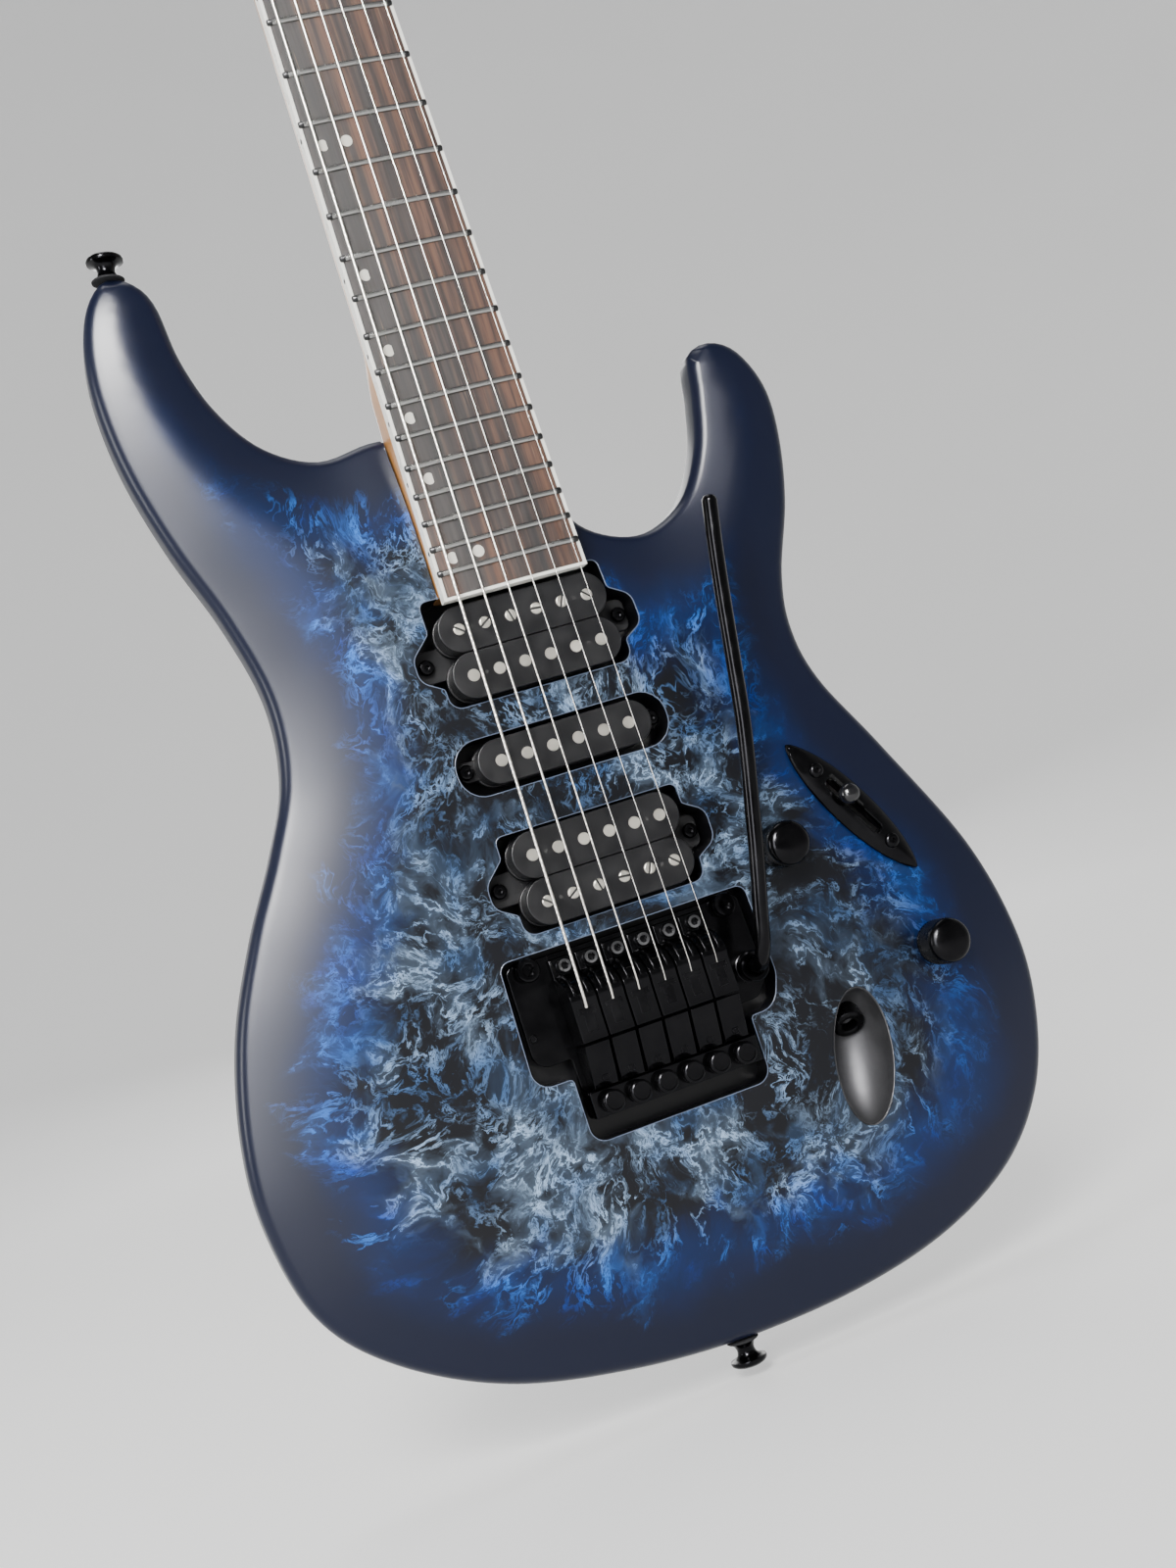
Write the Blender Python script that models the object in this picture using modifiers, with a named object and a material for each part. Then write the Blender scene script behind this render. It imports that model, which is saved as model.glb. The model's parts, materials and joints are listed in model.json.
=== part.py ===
"""Electric guitar: thin arched double-cutaway body, bolt-on neck, recessed locking tremolo.

Frame: the nut line on the neck's centre, at the level of the fingerboard, is the origin.
+Z runs up the neck to the headstock, -Y faces the player's audience (the strings' side)
and +X is the treble side.  Dimensions in this file are millimetres; MM turns them to metres.
"""
import math

import bmesh
import bpy
from mathutils import Matrix, Vector
from mathutils.geometry import delaunay_2d_cdt

MM = 0.001
GAP = 0.3                     # space left between neighbouring pieces

# ---------------------------------------------------------------- driving dimensions
SCALE_LENGTH = 648.0
FRET_COUNT = 24
NUT_WIDTH = 43.0
BOARD_END_Z = -496.5
BOARD_END_WIDTH = 58.4
BOARD_THICKNESS = 6.5
BOARD_RADIUS = 430.0
BINDING = 1.5
FRET_HEIGHT = 1.2

BODY_FRONT_CENTRE = 8.5       # y of the top at the middle of the body
BODY_BACK_CENTRE = 46.0
BODY_FRONT_EDGE = 17.0        # y of the top at the rim, before the rim is rounded
BODY_BACK_EDGE = 33.0
RIM_ROUND = 4.0
FRONT_ARCH_REACH = 60.0       # how far in from the rim the arch runs
BACK_ARCH_REACH = 45.0

STRING_GAUGES = (0.254, 0.330, 0.432, 0.660, 0.914, 1.168)
STRING_PITCH_BRIDGE = 10.8
STRING_PITCH_NUT = 7.1
SADDLE_CREST = (-3.4, -652.0)  # y, z of the point the strings break over
NUT_TOP_Y = -1.2
NUT_LENGTH = 15.0

HEAD_TILT = math.radians(11.0)
HEAD_START = (0.0, 6.0, 14.0)
HEAD_THICKNESS = 14.0
POST_RADIUS = 3.0
POST_FIRST_W = 32.0           # distance of the first and last post up the headstock
POST_LAST_W = 157.0

PICKUP_POLE_PITCH = 10.5
NECK_PICKUP_Z = -516.4
MIDDLE_PICKUP_Z = -559.3
BRIDGE_PICKUP_Z = -605.7
HUMBUCKER_ROWS = 18.0
PICKUP_TOP_Y = 4.8
PICKUP_CAVITY_Y = 27.0

STUD_X = 41.0
STUD_Z = -637.0
PLATE_Y = (12.0, 14.6)        # front and back faces of the tremolo base plate
PIVOT = (0.0, 13.3, -640.5)   # knife edge line
TREM_RECESS_Y = 20.0
BLOCK_Y = 40.0
SPRING_CAVITY_Y = 29.5
SPRING_Y = 35.5
SPRING_X = (-20.0, 0.0, 20.0)
CLAW_Z = -553.0
ARM_SOCKET = (43.4, -662.7)   # x, z
FINE_TUNER_Z = -692.0

VOLUME_XZ = (69.5, -622.2)
TONE_XZ = (120.6, -677.8)
KNOB_RADIUS = 9.0
KNOB_TOP_Y = -7.0
KNOB_BASE_Y = 7.6
SWITCH_XZ = (105.4, -616.3)
SWITCH_ALONG = Vector((0.519, 0.0, -0.855)).normalized()
SWITCH_TURN = Matrix.Rotation(math.atan2(-SWITCH_ALONG.z, SWITCH_ALONG.x), 4, "Y")
SWITCH_SCREW = 20.7           # distance of its two screws from the middle, along the slot
SWITCH_PIVOT_Y = 31.0
SWITCH_REST = math.radians(-11.0)
JACK_XZ = (76.3, -709.7)
JACK_TILT = math.radians(12.0)
JACK_OUT = Vector((-math.sin(JACK_TILT), -1.0, -math.cos(JACK_TILT))).normalized()
JACK_FACE = Vector((JACK_XZ[0] + 2.4, BODY_FRONT_CENTRE + 10.6, JACK_XZ[1] + 12.4))
CONTROL_CAVITY_Y = 15.2
COVER_THICKNESS = 2.0
NECK_BOLTS = ((-15, -449), (5, -456), (-15, -482), (15, -482))   # x, z
UPPER_BUTTON = (-109.5, 24.5, -340.7)
UPPER_BUTTON_AXIS = (0.12, 0, 1)
LOWER_BUTTON = (-1.5, 25.0, -795.6)

BODY_OUTLINE = (
    (-20, -426.8), (-34, -425.6), (-55, -427.8), (-73.7, -417.8), (-86.4, -399.3), (-93.2, -377.6),
    (-95.8, -354.9), (-101.6, -345.0), (-110.8, -341.2), (-120.3, -349.5), (-126.6, -366),
    (-128.9, -388), (-126.5, -416), (-118.9, -447.7), (-108, -480), (-101.6, -512), (-105, -541.5),
    (-117, -567), (-134, -596), (-149, -628), (-158.2, -664.5), (-159.4, -697), (-151, -732),
    (-129, -757), (-93.3, -777.7), (-50, -789.4), (-3, -795.0), (48, -794.2), (91, -786.4),
    (125, -770.6), (147.5, -746.6), (159.3, -716), (161.8, -684), (153.4, -644), (131, -596),
    (114.3, -563), (110, -540), (114, -518), (126, -489), (132.6, -462), (133.2, -441),
    (126, -424), (115, -417.8), (105, -422), (101, -438.5), (95, -458.5), (83.4, -476.8),
    (67.5, -486.0), (53.8, -486.2), (39, -478.5), (29.5, -464), (17.5, -445.5), (0, -431.5),
)

# name of a material: colour, roughness, metallic
MATERIALS = {
    "blue_burst": ((0.03, 0.06, 0.13), 0.45, 0.0),
    "maple": ((0.62, 0.36, 0.14), 0.4, 0.0),
    "rosewood": ((0.09, 0.045, 0.03), 0.6, 0.0),
    "cream_binding": ((0.86, 0.85, 0.78), 0.35, 0.0),
    "nickel_fret": ((0.62, 0.62, 0.6), 0.25, 1.0),
    "steel_string": ((0.7, 0.69, 0.66), 0.25, 1.0),
    "black_metal": ((0.016, 0.016, 0.018), 0.22, 0.9),
    "black_plastic": ((0.02, 0.02, 0.022), 0.35, 0.0),
    "pickup_plastic": ((0.022, 0.022, 0.024), 0.42, 0.0),
    "spring_steel": ((0.5, 0.5, 0.5), 0.3, 1.0),
    "pot_steel": ((0.55, 0.55, 0.53), 0.35, 1.0),
}


# ---------------------------------------------------------------- scene and object helpers
def clear_scene():
    for obj in list(bpy.data.objects):
        bpy.data.objects.remove(obj, do_unlink=True)


def make_collection(name):
    collection = bpy.data.collections.new(name)
    bpy.context.scene.collection.children.link(collection)
    return collection


def make_material(name):
    colour, roughness, metallic = MATERIALS[name]
    material = bpy.data.materials.new(name)
    material.use_nodes = True
    shader = material.node_tree.nodes["Principled BSDF"]
    shader.inputs["Base Color"].default_value = (*colour, 1.0)
    shader.inputs["Roughness"].default_value = roughness
    shader.inputs["Metallic"].default_value = metallic
    return material


def new_object(name, mesh):
    obj = bpy.data.objects.new(name, mesh)
    CUTTERS.objects.link(obj)
    return obj


def object_from_bmesh(name, bm):
    mesh = bpy.data.meshes.new(name)
    bm.to_mesh(mesh)
    bm.free()
    return new_object(name, mesh)


def finish(obj, material, origin=None, smooth=True):
    """Make obj a sub-part: real material, real collection, origin where it turns."""
    CUTTERS.objects.unlink(obj)
    GUITAR.objects.link(obj)
    obj.data.materials.clear()
    obj.data.materials.append(MATERIAL[material])
    if smooth:
        obj.data.shade_smooth()
        obj.data.set_sharp_from_angle(angle=math.radians(35))
    if origin is not None:
        shift = Matrix.Translation(-Vector(origin) * MM)
        obj.data.transform(shift)
        obj.location = Vector(origin) * MM
    return obj


def combine(target, tools, operation):
    """Add one exact Boolean with all the tools, and hide them."""
    group = bpy.data.collections.new(f"{target.name}_{operation.lower()}")
    CUTTERS.children.link(group)
    for tool in tools:
        CUTTERS.objects.unlink(tool)
        group.objects.link(tool)
        tool.hide_render = True
        tool.display_type = "WIRE"
    modifier = target.modifiers.new(operation.title(), "BOOLEAN")
    modifier.operation = operation
    modifier.solver = "EXACT"
    modifier.operand_type = "COLLECTION"
    modifier.collection = group


def cut(target, *tools):
    combine(target, tools, "DIFFERENCE")


def union(target, *tools):
    combine(target, tools, "UNION")


def apply_modifiers(obj):
    """Bake the Booleans so that the object's origin can move afterwards."""
    bpy.context.view_layer.update()
    evaluated = obj.evaluated_get(bpy.context.evaluated_depsgraph_get())
    mesh = bpy.data.meshes.new_from_object(evaluated)
    mesh.transform(obj.matrix_world)
    obj.modifiers.clear()
    obj.data = mesh
    obj.matrix_world = Matrix.Identity(4)
    return obj


# ---------------------------------------------------------------- shape helpers
def box(name, low, high):
    bm = bmesh.new()
    bmesh.ops.create_cube(bm, size=1.0)
    low = Vector(low) * MM
    high = Vector(high) * MM
    bmesh.ops.scale(bm, vec=high - low, verts=bm.verts)
    bmesh.ops.translate(bm, vec=(low + high) / 2, verts=bm.verts)
    return object_from_bmesh(name, bm)


def rod(name, start, end, radius, sides=16, end_radius=None):
    """A cylinder or cone between two points."""
    start = Vector(start) * MM
    end = Vector(end) * MM
    bm = bmesh.new()
    turn = (end - start).to_track_quat("Z", "Y").to_matrix().to_4x4()
    bmesh.ops.create_cone(
        bm, cap_ends=True, segments=sides, radius1=radius * MM,
        radius2=(radius if end_radius is None else end_radius) * MM,
        depth=(end - start).length, matrix=Matrix.Translation((start + end) / 2) @ turn)
    return object_from_bmesh(name, bm)


def turned(name, profile, base, axis, steps=20):
    """Turn a (radius, height) profile, listed from its top to its bottom, about an axis at base."""
    bm = bmesh.new()
    verts = [bm.verts.new((radius * MM, 0, height * MM)) for radius, height in profile]
    for first, second in zip(verts, verts[1:]):
        bm.edges.new((first, second))
    obj = object_from_bmesh(name, bm)
    screw = obj.modifiers.new("turn", "SCREW")
    screw.steps = steps
    screw.render_steps = steps
    screw.use_merge_vertices = True
    screw.merge_threshold = 0.00001
    obj.rotation_mode = "QUATERNION"
    obj.rotation_quaternion = Vector(axis).to_track_quat("Z", "Y")
    obj.location = Vector(base) * MM
    return apply_modifiers(obj)


def mesh_from_curve(curve, matrix):
    """Turn a curve into a welded mesh object placed in the world."""
    guide = new_object(curve.name, curve)
    guide.matrix_world = matrix
    bpy.context.view_layer.update()
    evaluated = guide.evaluated_get(bpy.context.evaluated_depsgraph_get())
    bm = bmesh.new()
    mesh = bpy.data.meshes.new_from_object(evaluated)
    bm.from_mesh(mesh)
    bmesh.ops.remove_doubles(bm, verts=bm.verts, dist=0.000001)
    bmesh.ops.transform(bm, matrix=matrix, verts=bm.verts)
    name = curve.name
    bpy.data.objects.remove(guide, do_unlink=True)
    return object_from_bmesh(name, bm)


def prism(name, outline, y_front, y_back):
    """Extrude a closed (x, z) outline between two depths."""
    curve = bpy.data.curves.new(name, "CURVE")
    curve.dimensions = "2D"
    curve.fill_mode = "BOTH"
    curve.extrude = (y_back - y_front) / 2 * MM
    spline = curve.splines.new("POLY")
    spline.points.add(len(outline) - 1)
    for point, (x, z) in zip(spline.points, outline):
        point.co = (x * MM, z * MM, 0, 1)
    spline.use_cyclic_u = True
    depth = (y_front + y_back) / 2 * MM
    return mesh_from_curve(curve, Matrix.Translation((0, depth, 0)) @ Matrix.Rotation(math.pi / 2, 4, "X"))


def side_prism(name, outline, x_low, x_high):
    """Extrude a closed (y, z) outline between two x positions."""
    obj = prism(name, outline, x_low, x_high)
    swap = Matrix(((0, 1, 0, 0), (1, 0, 0, 0), (0, 0, 1, 0), (0, 0, 0, 1)))
    obj.data.transform(swap)
    obj.data.flip_normals()
    return obj


def tube(name, path, radius, resolution=2):
    """A round wire along points, with filled ends."""
    curve = bpy.data.curves.new(name, "CURVE")
    curve.dimensions = "3D"
    curve.bevel_depth = radius * MM
    curve.bevel_resolution = resolution
    curve.use_fill_caps = True
    spline = curve.splines.new("POLY")
    spline.points.add(len(path) - 1)
    for point, place in zip(spline.points, path):
        point.co = (*(Vector(place) * MM), 1)
    return mesh_from_curve(curve, Matrix.Identity(4))


def rounded(corners, segments=4):
    """An (x, z) outline whose corners (x, z, radius) are replaced by arcs."""
    points = []
    count = len(corners)
    for index, (x, z, radius) in enumerate(corners):
        corner = Vector((x, z))
        back = (Vector(corners[index - 1][:2]) - corner).normalized()
        ahead = (Vector(corners[(index + 1) % count][:2]) - corner).normalized()
        half = back.angle(ahead) / 2
        if radius <= 0 or math.pi / 2 - half < 0.01:
            points.append((x, z))
            continue
        centre = corner + (back + ahead).normalized() * (radius / math.sin(half))
        start = corner + back * (radius / math.tan(half)) - centre
        end = corner + ahead * (radius / math.tan(half)) - centre
        for step in range(segments + 1):
            blend = start.lerp(end, step / segments).normalized() * radius
            points.append(tuple(centre + blend))
    return points


def smooth_loop(knots, spacing):
    """Catmull-Rom curve through closed knots, resampled at an even spacing."""
    knots = [Vector(knot) for knot in knots]
    count = len(knots)
    dense = []
    for index in range(count):
        a, b, c, d = (knots[(index + offset) % count] for offset in (-1, 0, 1, 2))
        for step in range(12):
            t = step / 12
            dense.append(0.5 * ((2 * b) + (c - a) * t + (2 * a - 5 * b + 4 * c - d) * t * t
                                + (3 * b - a - 3 * c + d) * t ** 3))
    lengths = [(dense[(i + 1) % len(dense)] - dense[i]).length for i in range(len(dense))]
    total = sum(lengths)
    number = round(total / spacing)
    loop = []
    index = 0
    walked = 0.0
    for step in range(number):
        goal = total * step / number
        while walked + lengths[index] < goal:
            walked += lengths[index]
            index += 1
        t = (goal - walked) / lengths[index]
        loop.append(dense[index].lerp(dense[(index + 1) % len(dense)], t))
    return loop


def distance_to_loop(point, loop):
    best = 1e9
    for first, second in zip(loop, loop[1:] + loop[:1]):
        run = second - first
        t = max(0.0, min(1.0, (point - first).dot(run) / run.length_squared))
        best = min(best, (point - first - run * t).length)
    return best


def inside_loop(point, loop):
    inside = False
    for first, second in zip(loop, loop[1:] + loop[:1]):
        if (first.y > point.y) != (second.y > point.y):
            if point.x < first.x + (point.y - first.y) / (second.y - first.y) * (second.x - first.x):
                inside = not inside
    return inside


def inset_ring(loop, inset, clearance=0.97):
    """Points moved inwards from a loop, leaving out those that come near another side."""
    area = sum(a.x * b.y - b.x * a.y for a, b in zip(loop, loop[1:] + loop[:1]))
    side = 1 if area > 0 else -1
    ring = []
    for before, point, after in zip(loop[-1:] + loop[:-1], loop, loop[1:] + loop[:1]):
        along = (after - before).normalized()
        moved = point + Vector((-along.y, along.x)) * side * inset
        if distance_to_loop(moved, loop) > inset * clearance:
            ring.append(moved)
    return ring


def grid_points(loop, pitch, margin):
    """A staggered grid over the inside of a loop."""
    xs = [point.x for point in loop]
    zs = [point.y for point in loop]
    points = []
    rows = int((max(zs) - min(zs)) / (pitch * 0.87))
    for row in range(rows + 1):
        z = min(zs) + row * pitch * 0.87
        for column in range(int((max(xs) - min(xs)) / pitch) + 1):
            point = Vector((min(xs) + (column + 0.5 * (row % 2)) * pitch, z))
            if inside_loop(point, loop) and distance_to_loop(point, loop) > margin:
                points.append(point)
    return points


def lofted_slab(name, loop, inner, front_y, back_y):
    """A closed slab between two curved surfaces over a loop and the points inside it."""
    count = len(loop)
    edges = [(i, (i + 1) % count) for i in range(count)]
    result = delaunay_2d_cdt(list(loop) + inner, edges, [list(range(count))], 1, 1e-5)
    points, triangles = result[0], result[2]
    origins = result[3]
    bm = bmesh.new()
    front = [bm.verts.new(Vector((p.x, front_y(p), p.y)) * MM) for p in points]
    back = [bm.verts.new(Vector((p.x, back_y(p), p.y)) * MM) for p in points]
    for triangle in triangles:
        bm.faces.new([front[i] for i in triangle])
        bm.faces.new([back[i] for i in reversed(triangle)])
    rim = {source: index for index, sources in enumerate(origins) for source in sources if source < count}
    for i in range(count):
        first, second = rim[i], rim[(i + 1) % count]
        bm.faces.new((front[second], front[first], back[first], back[second]))
    bmesh.ops.recalc_face_normals(bm, faces=bm.faces)
    return object_from_bmesh(name, bm)


# ---------------------------------------------------------------- the body's arched surfaces
def rim_drop(inset):
    """How far the rounded rim falls away from the arch."""
    t = max(0.0, 1.0 - inset / RIM_ROUND)
    return RIM_ROUND * (1.0 - math.sqrt(1.0 - t * t))


def arch(inset, reach):
    t = max(0.0, 1.0 - inset / reach)
    return 1.0 - t * t


def body_front_y(point):
    inset = distance_to_loop(point, BODY_LOOP)
    rise = (BODY_FRONT_EDGE - BODY_FRONT_CENTRE) * arch(inset, FRONT_ARCH_REACH)
    return BODY_FRONT_EDGE - rise + rim_drop(inset)


def body_back_y(point):
    inset = distance_to_loop(point, BODY_LOOP)
    rise = (BODY_BACK_CENTRE - BODY_BACK_EDGE) * arch(inset, BACK_ARCH_REACH)
    return BODY_BACK_EDGE + rise - rim_drop(inset)


def arched_sheet(name, outline, surface, near, far, pitch=14.0):
    """A sheet that follows one of the body's surfaces, from near to far beyond it in y."""
    loop = [Vector(point) for point in outline]
    inner = grid_points(loop, pitch, pitch * 0.45)
    return lofted_slab(name, loop, inner, lambda p: surface(p) + near, lambda p: surface(p) + far)


# ---------------------------------------------------------------- positions along the strings
def fret_z(number):
    return -SCALE_LENGTH * (1.0 - 2.0 ** (-number / 12.0))


def board_half_width(z):
    return (NUT_WIDTH + (BOARD_END_WIDTH - NUT_WIDTH) * z / BOARD_END_Z) / 2


def camber(x):
    return x * x / (2 * BOARD_RADIUS)


def string_x(number, z):
    """x of string 1 (thinnest, treble) to 6 (thickest, bass) at a height z."""
    rank = 3.5 - number
    at_nut = rank * STRING_PITCH_NUT
    at_saddle = rank * STRING_PITCH_BRIDGE
    return at_nut + (at_saddle - at_nut) * z / SADDLE_CREST[1]


# ---------------------------------------------------------------- body
def humbucker_cavity(name, centre_z):
    top = centre_z + (23.4 if centre_z == NECK_PICKUP_Z else 19.4)
    low = centre_z - 19.6
    ear = 11.0
    corners = [
        (-37.6, top, 3), (-37.6, centre_z + ear, 1.5), (-46, centre_z + 3, 6), (-46, centre_z - 6, 6),
        (-37.6, centre_z - ear, 1.5), (-37.6, low, 5), (37.6, low, 5), (37.6, centre_z - ear, 1.5),
        (46, centre_z - 6, 6), (46, centre_z + 6, 6), (37.6, centre_z + ear, 1.5), (37.6, top, 3)]
    return prism(name, rounded(corners, 3), -10, PICKUP_CAVITY_Y)


def control_outline(grow):
    corners = [(52, -606), (78, -596), (98, -584), (118, -603), (134, -640), (138, -672),
               (126, -698), (96, -744), (60, -744), (52, -700)]
    centre = Vector((96, -664))
    moved = []
    for x, z in corners:
        point = Vector((x, z))
        away = (point - centre).normalized() * grow
        moved.append((x + away.x, z + away.y, 9 + grow))
    return rounded(moved, 3)


def switch_point(along, y):
    """A point on the switch's centre line, at a distance along its slot."""
    return Vector((SWITCH_XZ[0], y, SWITCH_XZ[1])) + SWITCH_ALONG * along


def jack_ellipse(half_width, half_length, count=20):
    points = []
    for step in range(count):
        angle = 2 * math.pi * step / count
        across = half_width * math.cos(angle)
        along = half_length * math.sin(angle)
        points.append((JACK_XZ[0] + across * math.cos(JACK_TILT) + along * math.sin(JACK_TILT),
                       JACK_XZ[1] - across * math.sin(JACK_TILT) + along * math.cos(JACK_TILT)))
    return points


def jack_bowl(name, half_width, half_length, depth):
    """Half an ellipsoid let into the top, for the scooped jack cup."""
    bm = bmesh.new()
    bmesh.ops.create_uvsphere(bm, u_segments=16, v_segments=10, radius=1.0)
    bmesh.ops.scale(bm, vec=Vector((half_width, depth, half_length)) * MM, verts=bm.verts)
    turn = Matrix.Rotation(JACK_TILT, 4, "Y")
    place = Matrix.Translation(Vector((JACK_XZ[0], BODY_FRONT_CENTRE, JACK_XZ[1])) * MM)
    bmesh.ops.transform(bm, matrix=place @ turn, verts=bm.verts)
    return object_from_bmesh(name, bm)


def make_body():
    inner = []
    for inset in (0.9, RIM_ROUND, 15.0):
        inner += inset_ring(BODY_LOOP, inset)
    inner += grid_points(BODY_LOOP, 20.0, 25.0)
    body = lofted_slab("body", BODY_LOOP, inner, body_front_y, body_back_y)

    heel = [(-board_half_width(z) - GAP, z) for z in (-420, -493.4)]
    heel += [(-x, z) for x, z in reversed(heel)]
    middle = rounded([(-43.5, -548.6, 10), (-43.5, -570.6, 10), (43.5, -570.6, 10), (43.5, -548.6, 10)], 4)
    springs = rounded([(-35.4, -669.6, 3), (35.4, -669.6, 3), (35.4, -537, 3), (-35.4, -537, 3)], 2)
    across = SWITCH_ALONG.cross(Vector((0, 1, 0))) * 2.6
    slot = [switch_point(s * 15, 0) + across * t for s, t in ((-1, -1), (1, -1), (1, 1), (-1, 1))]
    lid_depth = -COVER_THICKNESS - 2 * GAP
    tools = [
        prism("neck_pocket_cut", heel, -10, 23.2),
        humbucker_cavity("neck_pickup_cut", NECK_PICKUP_Z),
        humbucker_cavity("bridge_pickup_cut", BRIDGE_PICKUP_Z),
        prism("middle_pickup_cut", middle, -10, PICKUP_CAVITY_Y),
        prism("tremolo_recess_cut", tremolo_recess(), -10, TREM_RECESS_Y),
        box("block_slot_cut", (-35, 10, -669), (35, 60, -642.5)),
        prism("spring_cavity_cut", springs, SPRING_CAVITY_Y, 60),
        arched_sheet("tremolo_cover_cut", tremolo_cover_outline(GAP), body_back_y, lid_depth, 6),
        prism("control_cavity_cut", control_outline(-1), CONTROL_CAVITY_Y, 60),
        arched_sheet("control_cover_cut", control_outline(5 + GAP), body_back_y, lid_depth, 6),
        prism("switch_slot_cut", [(p.x, p.z) for p in slot], 0, 20),
        jack_bowl("jack_bowl_cut", 12.5, 27.0, 19.4),
        rod("jack_barrel_cut", JACK_FACE, JACK_FACE - JACK_OUT * 26, 7.4, 12)]
    for name, (x, z) in (("volume_hole_cut", VOLUME_XZ), ("tone_hole_cut", TONE_XZ)):
        tools.append(rod(name, (x, 0, z), (x, 20, z), 4.6))
    for side in (-1, 1):
        x = side * STUD_X
        tools.append(rod(f"stud_hole_cut_{side}", (x, 5, STUD_Z), (x, 38, STUD_Z), 4.2, 12))
        tools.append(rod(f"switch_screw_cut_{side}", switch_point(side * SWITCH_SCREW, 0),
                         switch_point(side * SWITCH_SCREW, 20), 1.9, 8))
    for index, (x, z) in enumerate(NECK_BOLTS):
        tools.append(rod(f"neck_bolt_cut_{index}", (x, 15, z), (x, 60, z), 2.8, 8))
    cut(body, *tools)
    finish(body, "blue_burst")


# ---------------------------------------------------------------- neck and fingerboard
def neck_section(z, back, square):
    """Half-round to rectangular section of the neck below the fingerboard."""
    half = board_half_width(z)
    power = 2.1 + 9.0 * square
    ring = []
    steps = 12
    for step in range(steps + 1):
        angle = math.pi * step / steps
        c, s = math.cos(angle), math.sin(angle)
        x = half * math.copysign(abs(c) ** (2 / power), c)
        ring.append((x, BOARD_THICKNESS + GAP + (back - BOARD_THICKNESS - GAP) * s ** (2 / power), z))
    return ring


def make_neck():
    stations = [(16, 21.0, 0.1), (6, 19.5, 0.0), (-10, 18.2, 0.0), (-240, 19.2, 0.0), (-395, 20.5, 0.0),
                (-412, 22.9, 0.8), (-425, 22.9, 1.0), (-493.1, 22.9, 1.0)]
    bm = bmesh.new()
    rings = [[bm.verts.new(Vector(place) * MM) for place in neck_section(*station)] for station in stations]
    for first, second in zip(rings, rings[1:]):
        for index in range(len(first)):
            following = (index + 1) % len(first)
            bm.faces.new((first[index], first[following], second[following], second[index]))
    bm.faces.new(rings[0])
    bm.faces.new(reversed(rings[-1]))
    bmesh.ops.recalc_face_normals(bm, faces=bm.faces)
    neck = object_from_bmesh("neck", bm)
    head = prism("headstock", rounded(head_outline(), 3), 0, HEAD_THICKNESS)
    head.data.transform(head_matrix())
    union(neck, head)
    tools = []
    for number in range(1, 7):
        u, w = post_place(number)
        tool = rod(f"post_hole_cut_{number}", (u, -4, w), (u, HEAD_THICKNESS + 4, w), POST_RADIUS + 0.5, 12)
        tool.data.transform(head_matrix())
        tools.append(tool)
    for index, (x, z) in enumerate(NECK_BOLTS):
        tools.append(rod(f"neck_bolt_hole_{index}", (x, 11, z), (x, 30, z), 2.8, 8))
    cut(neck, *tools)
    finish(neck, "maple")


def head_matrix():
    """From headstock space (x across, y into the wood, z up the head) to the world."""
    return Matrix.Translation(Vector(HEAD_START) * MM) @ Matrix.Rotation(-HEAD_TILT, 4, "X")


def post_place(number):
    """Across and along position of the tuning post of string 1 to 6 on the headstock."""
    def beside_string(string, w):
        world_z = HEAD_START[2] + w * math.cos(HEAD_TILT)
        return string_x(string, world_z) - POST_RADIUS - 0.9
    first = Vector((beside_string(6, POST_FIRST_W), POST_FIRST_W))
    last = Vector((beside_string(1, POST_LAST_W), POST_LAST_W))
    return tuple(first.lerp(last, (6 - number) / 5))


def post_line():
    """Unit vector from the lowest to the highest tuning post, on the headstock's face."""
    return (Vector(post_place(1)) - Vector(post_place(6))).normalized()


def head_outline():
    along = post_line()
    outward = Vector((-along.y, along.x))
    low = Vector(post_place(6)) + outward * 12.5 - along * 8
    high = Vector(post_place(1)) + outward * 12.5 + along * 8
    return [(-21.5, 0, 0), (-22, 7, 12), (low.x, low.y, 9), (high.x, high.y, 12), (12, 192, 12),
            (38, 184, 10), (34, 130, 60), (26, 70, 60), (21.5, 22, 30), (21.5, 0, 0)]


def board_slab(name, end_z, start_z, shrink, thickness_y):
    """Tapered, cambered board between two heights, narrowed on each side by shrink."""
    columns = 6
    bm = bmesh.new()
    rings = []
    for z in (start_z, fret_z(12), end_z):
        half = board_half_width(z) - shrink
        xs = [half * (2 * step / columns - 1) for step in range(columns + 1)]
        ring = [(x, camber(x), z) for x in xs] + [(half, thickness_y, z), (-half, thickness_y, z)]
        rings.append([bm.verts.new(Vector(place) * MM) for place in ring])
    for first, second in zip(rings, rings[1:]):
        for index in range(len(first)):
            following = (index + 1) % len(first)
            bm.faces.new((first[index], first[following], second[following], second[index]))
    bm.faces.new(rings[0])
    bm.faces.new(reversed(rings[-1]))
    bmesh.ops.recalc_face_normals(bm, faces=bm.faces)
    return object_from_bmesh(name, bm)


def fret_comb(name, spread, crown_y, half_thickness):
    """Side outline of the spine and tangs that join the fret crowns under the board's surface."""
    tooth = 0.5 + spread
    low = BOARD_THICKNESS - 1.9 - spread
    high = BOARD_THICKNESS - 0.7 + spread * 4
    outline = [(high, fret_z(FRET_COUNT) - tooth), (high, fret_z(1) + tooth)]
    for number in range(1, FRET_COUNT + 1):
        z = fret_z(number)
        outline += [(crown_y, z + tooth), (crown_y, z - tooth)]
        if number < FRET_COUNT:
            outline += [(low, z - tooth), (low, fret_z(number + 1) + tooth)]
    return side_prism(name, outline, -half_thickness, half_thickness)


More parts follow.
